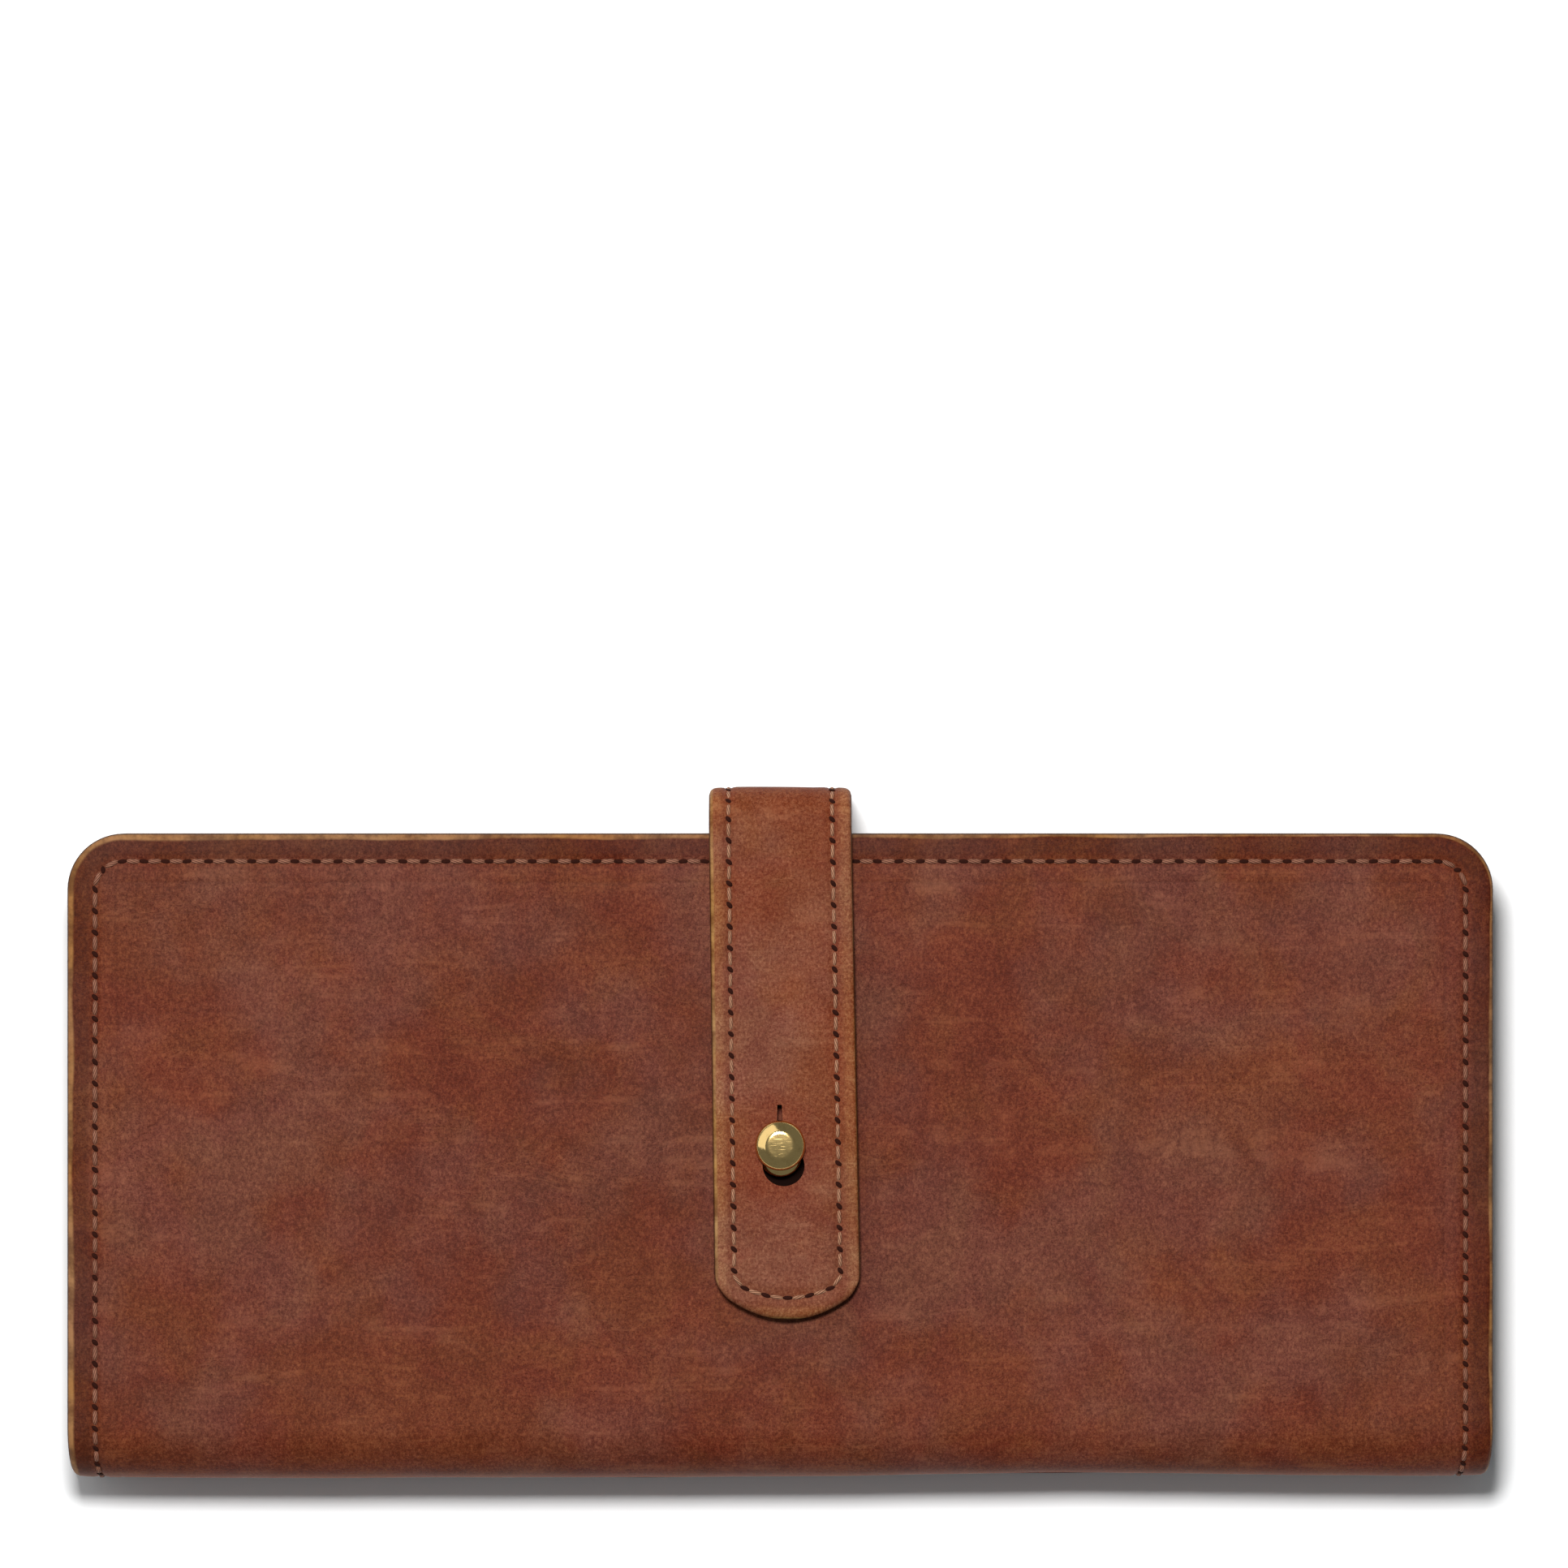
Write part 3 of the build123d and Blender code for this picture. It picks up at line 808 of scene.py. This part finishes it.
def zipEnd(side, name):  # closes the window between the coin panels beyond each end of the zip
    low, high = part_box("coin_panel_lower")
    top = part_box("coin_panel_upper")[0].y
    near = inner["zipEnd"]
    piece = flatBox(name, (near, high.y, high.z), (high.x, top, high.z))
    edit(piece)
    bpy.ops.mesh.inset(thickness=inner["zipEndStep"], depth=0)
    bpy.ops.mesh.inset(thickness=0.4 * mm, depth=0)
    thicken(piece, high.z - low.z)
    for point in piece.data.vertices:
        if point.co.x < near + 0.1 * mm and point.co.z > low.z + 0.1 * mm:
            point.co.z -= inner["zipEndStep"]
        point.co.x *= side
    if side < 0:
        flipNormals(piece)
    keepFlat(piece)
    keepInside(piece, lambda co: (abs(co.x) - near) / mm)
    smooth(piece, 50)
    return piece


zipEnds = [zipEnd(-1, "zip_end_left"), zipEnd(1, "zip_end_right")]
print("inside panels:", len(slots), "card slots, a coin pocket and two bill pockets")

# The zip: one tooth is modelled and copied along each tape

zipParts = {
    "toothPitch": 1.6 * mm,
    "toothWidth": 0.9 * mm,
    "nose": 0.55,
    "teethEdge": 0.14 * mm,
    "metalEdge": 0.16 * mm,
}


def toothRow(node, side):
    low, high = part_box(node)
    reach = high.y - low.y
    tooth = begin("tooth", bpy.ops.mesh.primitive_cube_add, size=1)
    tooth.scale = (zipParts["toothWidth"], reach, high.z - low.z)
    settle(tooth)
    edit(tooth)
    pick(tooth, lambda co: co.y * side < 0)
    bpy.ops.transform.resize(value=(zipParts["nose"], 1, 0.7))
    done()
    finishWith(tooth, "BEVEL", width=zipParts["teethEdge"], segments=1)
    count = round((high.x - low.x - zipParts["toothWidth"]) / zipParts["toothPitch"]) + 1
    copies = []
    for number in range(count):
        copy = copyOf(tooth)
        x = low.x + zipParts["toothWidth"] / 2 + number * zipParts["toothPitch"]
        copy.location = (x, (low.y + high.y) / 2, (low.z + high.z) / 2)
        copies.append(copy)
    bpy.data.objects.remove(tooth)
    row = join(copies, node + "_row")
    smooth(row, 35)
    return row


teeth = [toothRow("zip_teeth_lower", -1), toothRow("zip_teeth_upper", 1)]


def eased(node, width):  # a metal part of the frame, its corners broken
    bpy.ops.object.select_all(action="DESELECT")
    piece = copyOf(nodes[node])
    stands = piece.matrix_world.copy()
    piece.parent = None
    piece.matrix_world = stands
    piece.name = node + "_cast"
    settle(piece)
    edit(piece)
    bpy.ops.mesh.remove_doubles(threshold=1e-6)
    bpy.ops.mesh.dissolve_limited(angle_limit=math.radians(1))
    done()
    finishWith(piece, "BEVEL", width=width, segments=2, limit_method="ANGLE", angle_limit=math.radians(50))
    smooth(piece, 35)
    return piece


slider, pull, stops = [eased(node, zipParts["metalEdge"]) for node in ("zip_slider", "zip_pull", "zip_stops")]
screw = eased("stud_screw", zipParts["metalEdge"] / 2)
print("zip made:", len(teeth[0].data.polygons), "faces in a row of teeth")


# Finishes

class Tree:
    def __init__(self, name):
        self.material = bpy.data.materials.new(name)
        self.material.use_nodes = True
        self.nodes = self.material.node_tree.nodes
        self.shader = self.nodes["Principled BSDF"]

    def link(self, source, socket):
        if isinstance(source, (int, float, tuple)):
            socket.default_value = source
        else:
            self.material.node_tree.links.new(source, socket)

    def add(self, kind, inputs=None, output=0, **values):
        node = self.nodes.new("ShaderNode" + kind)
        for key, value in values.items():
            setattr(node, key, value)
        for key, source in (inputs or {}).items():
            self.link(source, node.inputs[key])
        return node.outputs[output]

    def math(self, kind, a, b=0.0, c=0.0):
        return self.add("Math", {0: a, 1: b, 2: c}, operation=kind)

    def times(self, a, b):
        return self.math("MULTIPLY", a, b)

    def mix(self, share, a, b):
        return self.add("Mix", {0: share, 6: a, 7: b}, 2, data_type="RGBA")

    def ramp(self, value, low, high, toLow=0.0, toHigh=1.0, soft=True):
        kind = "SMOOTHSTEP" if soft else "LINEAR"
        inputs = {"Value": value, "From Min": low, "From Max": high, "To Min": toLow, "To Max": toHigh}
        return self.add("MapRange", inputs, interpolation_type=kind)

    def noise(self, where, scale, detail=3.0, rough=0.5, warp=0.0):
        inputs = {"Vector": where, "Scale": scale, "Detail": detail, "Roughness": rough, "Distortion": warp}
        return self.add("TexNoise", inputs)

    def split(self, where):  # x, y and z
        node = self.nodes.new("ShaderNodeSeparateXYZ")
        self.link(where, node.inputs[0])
        return node.outputs

    def stretch(self, where, scale, turn=0.0):
        return self.add("Mapping", {"Vector": where, "Scale": scale, "Rotation": (0.0, 0.0, turn)})

    def sum(self, *parts):
        total = parts[0]
        for part in parts[1:]:
            total = self.math("ADD", total, part)
        return total

    def finish(self, colour, rough, height=None, **constants):
        self.link(colour, self.shader.inputs["Base Color"])
        self.link(rough, self.shader.inputs["Roughness"])
        for key, value in constants.items():
            self.shader.inputs[key.replace("_", " ")].default_value = value
        if height is not None:
            normal = self.add("Bump", {"Height": height, "Distance": mm})
            self.link(normal, self.shader.inputs["Normal"])
        return self.material


def srgb(r, g, b):  # paint-chart colour, 0 to 255, to the shader's own
    def one(c):
        c /= 255
        return c / 12.92 if c <= 0.04045 else ((c + 0.055) / 1.055) ** 2.4
    return (one(r), one(g), one(b), 1.0)


coverLook = {
    "dark": srgb(88, 40, 27),
    "mid": srgb(112, 57, 41),
    "light": srgb(142, 84, 60),
    "pore": srgb(50, 20, 12),
    "edge": srgb(166, 118, 76),
    "edgeDark": srgb(112, 74, 47),
    "strip": (0.66, 0.6, 0.52),  # how the strip outside the seam is tinted
    "stripInner": 3.6,
    "rimWidth": (0.76, 0.42),  # at the left side and at the right: painted light, the burnished edge band wider on the lit left than on the shaded right
    "rimWander": 1.1,
    # painted light along the fold, which turns away from the lamp
    "foldPaintedLight": srgb(190, 122, 92),
    # painted shade round the stud's foot, in the keyhole under the strap
    "grimeAndPaintedShade": srgb(26, 12, 8),
    "tone": 0.77,
}
strapLook = {
    "dark": srgb(108, 50, 32),
    "mid": srgb(132, 72, 50),
    "light": srgb(164, 106, 78),
    "pore": srgb(66, 28, 18),
    "edge": srgb(184, 138, 88),
    "edgeDark": srgb(124, 80, 48),
    "strip": (1.3, 1.6, 1.45),
    "stripInner": 2.2,
    # the strap's burnished edge band: painted light, wider on the lit left than on the shaded right
    "rimWidth": (0.5, 0.12),
    "rimWander": 0.35,
    "tone": 0.72,
}


def place(tree, attribute):  # millimetres, on the flat piece or in the object's frame
    if attribute:
        spot = tree.add("Attribute", output=1, attribute_name=attribute, attribute_type="GEOMETRY")
    else:
        spot = tree.add("TexCoord", output=3)
    return tree.add("VectorMath", {0: spot, 3: 1 / mm}, operation="SCALE")


def inset(tree, where, half, top, corner, bottom=None):  # distance inside the outline, mm
    parts = tree.split(where)
    overX = tree.math("SUBTRACT", tree.math("ABSOLUTE", parts[0]), half - corner)
    overY = tree.math("SUBTRACT", parts[1], top - corner)
    squareX = tree.math("POWER", tree.math("MAXIMUM", overX, 0.0), 2.0)
    squareY = tree.math("POWER", tree.math("MAXIMUM", overY, 0.0), 2.0)
    outside = tree.math("SQRT", tree.math("ADD", squareX, squareY))
    inside = tree.math("MINIMUM", tree.math("MAXIMUM", overX, overY), 0.0)
    return tree.math("SUBTRACT", corner, tree.math("ADD", outside, inside)), parts


def band(tree, value, middle, width):  # 1 at middle, 0 beyond width each side
    off = tree.math("ABSOLUTE", tree.math("SUBTRACT", value, middle))
    return tree.ramp(off, 0.0, width, 1.0, 0.0)


def grain(tree, where):  # height in mm, and what colours it
    warp = tree.noise(where, 0.5, 3.0, 0.6)
    shifted = tree.add("VectorMath", {0: where, 1: warp}, operation="ADD")
    cells = tree.add("TexVoronoi", {"Vector": shifted, "Scale": 1.15}, feature="DISTANCE_TO_EDGE")
    valley = tree.ramp(cells, 0.0, 0.16, 1.0, 0.0)
    fine = tree.add("TexVoronoi", {"Vector": shifted, "Scale": 2.6})
    pit = tree.ramp(fine, 0.05, 0.26, 1.0, 0.0)
    patch = tree.ramp(tree.noise(where, 0.06, 3.0, 0.6), 0.42, 0.62)
    pit = tree.times(pit, tree.ramp(patch, 0.0, 1.0, 0.35, 1.0))
    long = tree.stretch(where, (0.06, 0.15, 0.1), 0.2)
    ridge = tree.noise(long, 1.0, 5.0, 0.6, 0.8)
    vein = tree.ramp(tree.math("ABSOLUTE", tree.math("SUBTRACT", ridge, 0.5)), 0.0, 0.014, 1.0, 0.0)
    vein = tree.times(vein, patch)
    skin = tree.noise(where, 3.0, 5.0, 0.8)
    height = tree.sum(
        tree.times(valley, -0.014), tree.times(pit, -0.03),
        tree.times(vein, -0.012), tree.times(skin, 0.05))
    return height, valley, pit, vein


def coverLeather(name, shape, look, crease=None, foldV=None, hole=None):
    tree = Tree(name)
    where = place(tree, "flat")
    d, parts = inset(tree, where, *shape)
    height, valley, pit, vein = grain(tree, where)
    broad = tree.noise(where, 0.03, 4.0, 0.6, 0.4)
    cloud = tree.noise(where, 0.16, 6.0, 0.7, 0.6)
    speck = tree.noise(tree.stretch(where, (1.25, 0.8, 1.0), 0.25), 2.3, 6.0, 0.85)
    tint = tree.sum(
        tree.times(broad, 0.12), tree.times(cloud, 0.2),
        tree.times(speck, 0.78))
    colour = tree.mix(tree.ramp(tint, 0.48, 0.56, soft=False), look["dark"], look["mid"])
    colour = tree.mix(tree.ramp(tint, 0.55, 0.7), colour, look["light"])
    growth = tree.noise(tree.stretch(where, (0.035, 0.42, 1.0), 0.12), 1.0, 4.0, 0.6, 1.2)
    growth = tree.times(tree.ramp(growth, 0.52, 0.66), tree.ramp(cloud, 0.44, 0.58))
    colour = tree.mix(tree.times(growth, 0.42), colour, look["light"])
    for turn in (0.5, -0.9, 1.9):  # the grain's short pale fibres lie three ways
        fibre = tree.noise(tree.stretch(where, (0.9, 4.5, 1.0), turn), 1.0, 2.0, 0.6, 0.3)
        colour = tree.mix(tree.times(tree.ramp(fibre, 0.6, 0.72), 0.32), colour, look["light"])
    nick = tree.noise(tree.stretch(where, (0.1, 2.0, 1.0), -0.3), 1.0, 2.0, 0.5)
    nick = tree.times(tree.ramp(nick, 0.75, 0.78), 0.5)
    colour = tree.mix(nick, colour, look["light"])
    colour = tree.mix(tree.times(vein, 0.4), colour, look["light"])
    colour = tree.mix(tree.times(pit, 0.55), colour, look["pore"])
    colour = tree.mix(tree.times(valley, 0.16), colour, look["pore"])
    hue = tree.ramp(tree.noise(where, 0.08, 3.0, 0.6, 0.8), 0.36, 0.64, 0.497, 0.503)
    richness = tree.noise(tree.stretch(where, (1.0, 1.0, 1.0), 1.1), 0.05, 3.0, 0.6)
    richness = tree.ramp(richness, 0.38, 0.62, 0.98, 1.07)
    uneven = tree.math("SUBTRACT", tree.noise(where, 0.06, 4.0, 0.55), 0.5)
    wander = tree.math("ADD", d, tree.times(uneven, look["rimWander"]))
    strip = tree.ramp(wander, look["stripInner"] - 1.2, look["stripInner"], 1.0, 0.0)
    tinted = tree.add("VectorMath", {0: colour, 1: look["strip"]}, operation="MULTIPLY")
    colour = tree.mix(strip, colour, tinted)
    if crease:
        # painted shade along the crease's groove
        colour = tree.mix(tree.times(band(tree, wander, crease, 0.4), 0.12), colour, look["pore"])
    rough = tree.sum(0.46, tree.times(speck, 0.2), tree.times(pit, 0.15))
    if foldV:  # painted light: the fold, which turns away from the lamp, is painted paler
        fold = band(tree, parts[1], foldV, 4.2)
        colour = tree.mix(tree.times(fold, 0.5), colour, look["foldPaintedLight"])
    if hole:  # painted shade where the stud's foot stands, in the keyhole under the strap
        off = tree.add("VectorMath", {0: where, 1: (hole[0], hole[1], hole[3])}, 1, operation="DISTANCE")
        grimeAndPaintedShade = tree.ramp(off, hole[2], hole[2] + 1.2, 1.0, 0.0)
        colour = tree.mix(grimeAndPaintedShade, colour, look["grimeAndPaintedShade"])
        rough = tree.math("MAXIMUM", rough, grimeAndPaintedShade)
    streak = tree.noise(tree.stretch(where, (0.22, 0.22, 3.0)), 1.0, 4.0, 0.7)
    rim = tree.mix(tree.ramp(streak, 0.36, 0.64), look["edgeDark"], look["edge"])
    # the burnished edge band, its width painted by side: wider on the lit left, narrower on the shaded right
    width = tree.ramp(parts[0], -shape[0], shape[0], *look["rimWidth"])
    beyond = tree.math("DIVIDE", wander, width)
    colour = tree.mix(tree.ramp(beyond, 0.75, 1.3, 1.0, 0.0), colour, rim)
    colour = tree.mix(tree.ramp(d, 0.05, 0.24, 0.85, 0.0), colour, look["pore"])
    toned = {"Hue": hue, "Saturation": richness, "Value": look["tone"], "Color": colour}
    toned = tree.add("HueSaturation", toned)
    return tree.finish(toned, rough, height, Specular_IOR_Level=0.08)


def threadFinish(name, dark, colour):
    tree = Tree(name)
    uv = tree.add("TexCoord", output=2)
    slanted = tree.stretch(uv, (1.0, 1.0, 1.0), 0.7)
    twist = tree.add("TexWave", {"Vector": slanted, "Scale": 2.6, "Distortion": 0.6, "Detail": 1.0})
    where = place(tree, "flat")
    fibre = tree.noise(where, 5.0, 3.0, 0.7)
    # real grime on the thread, darker in random patches
    grimeAndPaintedShade = tree.noise(where, 0.25, 3.0, 0.6)
    shade = tree.mix(tree.ramp(twist, 0.2, 0.8), dark, colour)
    shade = tree.mix(tree.ramp(grimeAndPaintedShade, 0.35, 0.7, 0.0, 0.45), shade, dark)
    height = tree.sum(tree.times(twist, 0.08), tree.times(fibre, 0.05))
    return tree.finish(shade, 0.62, height, Specular_IOR_Level=0.15)


# the awl holes' finish: painted shade, dark for the shade inside each hole
def holeFinish(name, dark, light):
    tree = Tree(name)
    shade = tree.mix(tree.noise(place(tree, "flat"), 4.0), dark, light)
    return tree.finish(shade, 0.85, Specular_IOR_Level=0.1)


def brass(name, dark, colour, rough, wear):
    tree = Tree(name)
    where = place(tree, None)
    tarnish = tree.noise(where, 0.9, 5.0, 0.65)
    scratch = tree.noise(tree.stretch(where, (0.6, 9.0, 4.0), 0.6), 1.0, 3.0, 0.6)
    shade = tree.mix(tree.ramp(tarnish, 0.45, 0.75, 0.0, wear), colour, dark)
    scored = tree.times(tree.ramp(scratch, 0.6, 0.7), 0.12)
    gloss = tree.sum(rough, tree.times(tarnish, 0.12), scored)
    height = tree.times(tree.math("ADD", scratch, tarnish), 0.003)
    return tree.finish(shade, gloss, height, Metallic=1.0)


def innerLeather(name, dark, mid, light, rim):
    tree = Tree(name)
    where = place(tree, "flat")
    inside = tree.add("Attribute", output=2, attribute_name="inside", attribute_type="GEOMETRY")
    height, valley, pit, vein = grain(tree, where)
    cloud = tree.noise(where, 0.12, 5.0, 0.6, 0.5)
    speck = tree.noise(where, 2.4, 5.0, 0.8)
    tint = tree.math("ADD", tree.times(cloud, 0.4), tree.times(speck, 0.6))
    colour = tree.mix(tree.ramp(tint, 0.42, 0.56, soft=False), dark, mid)
    colour = tree.mix(tree.ramp(tint, 0.52, 0.68), colour, light)
    colour = tree.mix(tree.times(pit, 0.35), colour, dark)
    colour = tree.mix(tree.ramp(inside, 0.15, 0.35, 0.85, 0.0), colour, rim)
    rough = tree.sum(0.45, tree.times(speck, 0.2))
    return tree.finish(colour, rough, height, Specular_IOR_Level=0.2)


def wovenCloth(name, dark, light, threads, rib):  # crossing threads, threads to the millimetre
    tree = Tree(name)
    where = place(tree, "flat")
    parts = tree.split(where)
    turnX = tree.times(parts[0], threads * math.pi)
    turnY = tree.times(parts[1], threads * math.pi * rib)
    weave = tree.times(tree.math("SINE", turnX), tree.math("SINE", turnY))
    weave = tree.math("MULTIPLY_ADD", weave, 0.5, 0.5)
    slub = tree.noise(tree.stretch(where, (0.3, 3.0, 1.0)), 1.0, 3.0, 0.6)
    dust = tree.noise(where, 0.1, 4.0, 0.6)
    shade = tree.mix(tree.times(weave, tree.ramp(slub, 0.3, 0.7, 0.6, 1.0)), dark, light)
    shade = tree.mix(tree.ramp(dust, 0.4, 0.7, 0.0, 0.3), shade, dark)
    height = tree.sum(tree.times(weave, 0.08), tree.times(slub, 0.03))
    return tree.finish(shade, 0.85, height, Specular_IOR_Level=0.1)


def boardFinish(name, dark, light):
    tree = Tree(name)
    where = place(tree, None)
    fibre = tree.noise(tree.stretch(where, (0.4, 2.5, 6.0)), 1.0, 5.0, 0.7)
    shade = tree.mix(tree.ramp(fibre, 0.35, 0.65), dark, light)
    return tree.finish(shade, 0.9, tree.times(fibre, 0.05), Specular_IOR_Level=0.1)


coverShape = (halfWidth / mm, topY / mm, cover["corner"] / mm)
strapShape = (strap["half"] / mm, tipV / mm, 4.6)
foldMiddle = (foldStart - foldArc) / mm
underStud = (studX / mm, studY / mm - 1.5, 4.0, topZ / mm)
creaseAt = cover["creaseInset"] / mm
coverFinish = coverLeather("cover_leather_finish", coverShape, coverLook, creaseAt, foldMiddle, underStud)
strapFinish = coverLeather("strap_leather_finish", strapShape, strapLook)

shades = {  # dark first
    "thread": (srgb(98, 60, 45), srgb(156, 106, 84)),
    "strapThread": (srgb(124, 84, 62), srgb(186, 136, 106)),
    # painted shade inside the awl holes
    "hole": (srgb(24, 7, 3), srgb(52, 18, 9)),
    "stud": (srgb(156, 122, 68), srgb(238, 202, 132)),
    "zip": (srgb(92, 70, 38), srgb(176, 142, 84)),
    "pocket": (srgb(96, 58, 38), srgb(122, 76, 50), srgb(146, 96, 66)),
    "pocketRim": srgb(70, 40, 26),
    "lining": (srgb(88, 68, 50), srgb(128, 104, 80)),
    "tape": (srgb(52, 38, 30), srgb(86, 64, 50)),
    "board": (srgb(112, 90, 68), srgb(150, 126, 98)),
}
threadLook = threadFinish("thread_finish", *shades["thread"])
strapThread = threadFinish("strap_thread_finish", *shades["strapThread"])
holeLook = holeFinish("awl_hole_finish", *shades["hole"])
studBrass = brass("stud_brass_finish", *shades["stud"], 0.074, 0.3)
zipBrass = brass("zip_brass_finish", *shades["zip"], 0.24, 0.6)
pocketLeather = innerLeather("pocket_leather_finish", *shades["pocket"], shades["pocketRim"])
liningCloth = wovenCloth("lining_cloth_finish", *shades["lining"], 2.6, 1.0)
tapeCloth = wovenCloth("zip_tape_finish", *shades["tape"], 2.2, 1.6)
boardLook = boardFinish("board_finish", *shades["board"])


def dress(obj, material, body=None, replaces=()):
    obj.data.materials.clear()
    obj.data.materials.append(material)
    if replaces:
        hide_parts(*replaces)
    if body:
        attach(obj, body)


for obj in (coverFront, coverBack):
    dress(obj, coverFinish)
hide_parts("front_panel", "spine_panel")
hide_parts("back_panel")
for obj in (strapLower, strapUpper):
    dress(obj, strapFinish)
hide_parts("strap_root", "strap_riser_outer", "strap_riser_lining")
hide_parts("strap_tab_outer", "strap_tab_lining")
for obj in (frontThread, backThread):
    dress(obj, threadLook)
for obj in (lowerThread, upperThread):
    dress(obj, strapThread)
for obj in (frontHoles, backHoles, lowerHoles, upperHoles):
    dress(obj, holeLook)
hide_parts("front_stitching")
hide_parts("back_stitching")
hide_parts("strap_stitching")
dress(studHead, studBrass, "front", ["stud_head"])
dress(studWasher, studBrass, "front", ["stud_washer"])

# The pieces on either side of the fold and of the strap's bend, their places put into their meshes
for obj in (coverFront, frontThread, frontHoles, spineCloths[0]):
    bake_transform(obj)
for obj in (coverBack, backThread, backHoles, spineCloths[1]):
    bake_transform(obj)
for obj in (strapLower, lowerThread, lowerHoles):
    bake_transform(obj)
for obj in (strapUpper, upperThread, upperHoles):
    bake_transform(obj)

# Pieces made for one node each: the pieces, their nodes, finish and slot
fitted = [
    ([*linings, coinBag], ["front_lining", "back_lining", "coin_bag"], liningCloth, "lining_cloth"),
    ([*walls, *slots], ["front_bill_wall", "back_bill_wall", *slotNodes], pocketLeather, "inner_leather"),
    ([welt], ["coin_gusset"], pocketLeather, "inner_leather"),
    (coinPanels, ["coin_panel_lower", "coin_panel_upper"], pocketLeather, "inner_leather"),
    (tapes, ["zip_tape_lower", "zip_tape_upper"], tapeCloth, "zip_tape"),
    ([*teeth, stops], ["zip_teeth_lower", "zip_teeth_upper", "zip_stops"], zipBrass, "zip_metal"),
]
for pieces, replaced, finish, slot in fitted:
    for obj, node in zip(pieces, replaced):
        dress(obj, finish, "front" if node.startswith(("front", "card")) else "back", [node])
for obj in zipEnds:
    dress(obj, pocketLeather, "back")
dress(cardSeam, threadLook, "front", ["card_stitching"])
dress(coinSeam, threadLook, "back")
dress(slider, zipBrass, "zip_slider", ["zip_slider"])
dress(pull, zipBrass, "zip_pull", ["zip_pull"])
dress(screw, studBrass, "front", ["stud_screw"])
for obj in spineCloths:
    dress(obj, liningCloth)
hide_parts("spine_lining")
# The cloth pieces and the parts under them: only their boxes are read here; the real cloth is glued or sewn
# down flat
for obj, node, under in zip([*linings, coinBag], ("front_lining", "back_lining", "coin_bag"),
                            ("front_stiffener", "back_stiffener", "back_bill_wall")):
    low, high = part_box(node)
low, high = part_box("front_lining")
for node in ("back_stiffener", "front_stiffener"):
    nodes[node].data.materials.clear()
    nodes[node].data.materials.append(boardLook)

# Floor, light and camera

view = {
    "height": 3.0,
    "frameWidth": 208.9 * mm,
    "aimX": 0.5 * mm,
    "aimY": 46.5 * mm,
    "filmWidth": 36,
    "floorSize": 6,
    "floorDrop": 0.2 * mm,
    "floorWhite": (0.93, 0.93, 0.93, 1.0),
    "skyTint": (0.93, 1.0, 1.03, 1),
    "skyStrength": 0.17,
}

floorSpot = (0, 0, -view["floorDrop"])
floor = begin("floor", bpy.ops.mesh.primitive_plane_add, size=view["floorSize"], location=floorSpot)
floorTree = Tree("floor_finish")
floor.data.materials.append(floorTree.finish(view["floorWhite"], 0.9, Specular_IOR_Level=0.05))

world = bpy.data.worlds.new("studio")
bpy.context.scene.world = world
world.use_nodes = True
world.node_tree.nodes["Background"].inputs[0].default_value = view["skyTint"]
world.node_tree.nodes["Background"].inputs[1].default_value = view["skyStrength"]


lights = {
    "key": {"spot": (-0.06, 0.33, 1.2), "size": (0.22, 0.22), "power": 17},
    "left": {"spot": (-0.9, 0.6, 0.65), "size": (2.0, 1.0), "power": 6},
}


def softBox(name, spot, size, power):
    light = bpy.data.lights.new(name, "AREA")
    light.shape = "RECTANGLE"
    light.size, light.size_y = size
    light.energy = power
    lamp = bpy.data.objects.new(name, light)
    bpy.context.scene.collection.objects.link(lamp)
    lamp.location = spot
    lamp.rotation_euler = (-Vector(spot)).to_track_quat("-Z", "Y").to_euler()


for name, values in lights.items():
    softBox(name, **values)

lens = bpy.data.cameras.new("camera")
camera = bpy.data.objects.new("camera", lens)
bpy.context.scene.collection.objects.link(camera)
camera.location = (view["aimX"], view["aimY"], view["height"])
lens.sensor_width = view["filmWidth"]
lens.lens = view["filmWidth"] * (view["height"] - topZ) / view["frameWidth"]
lens.clip_end = 20
bpy.context.scene.camera = camera
bpy.context.scene.view_settings.view_transform = "Standard"
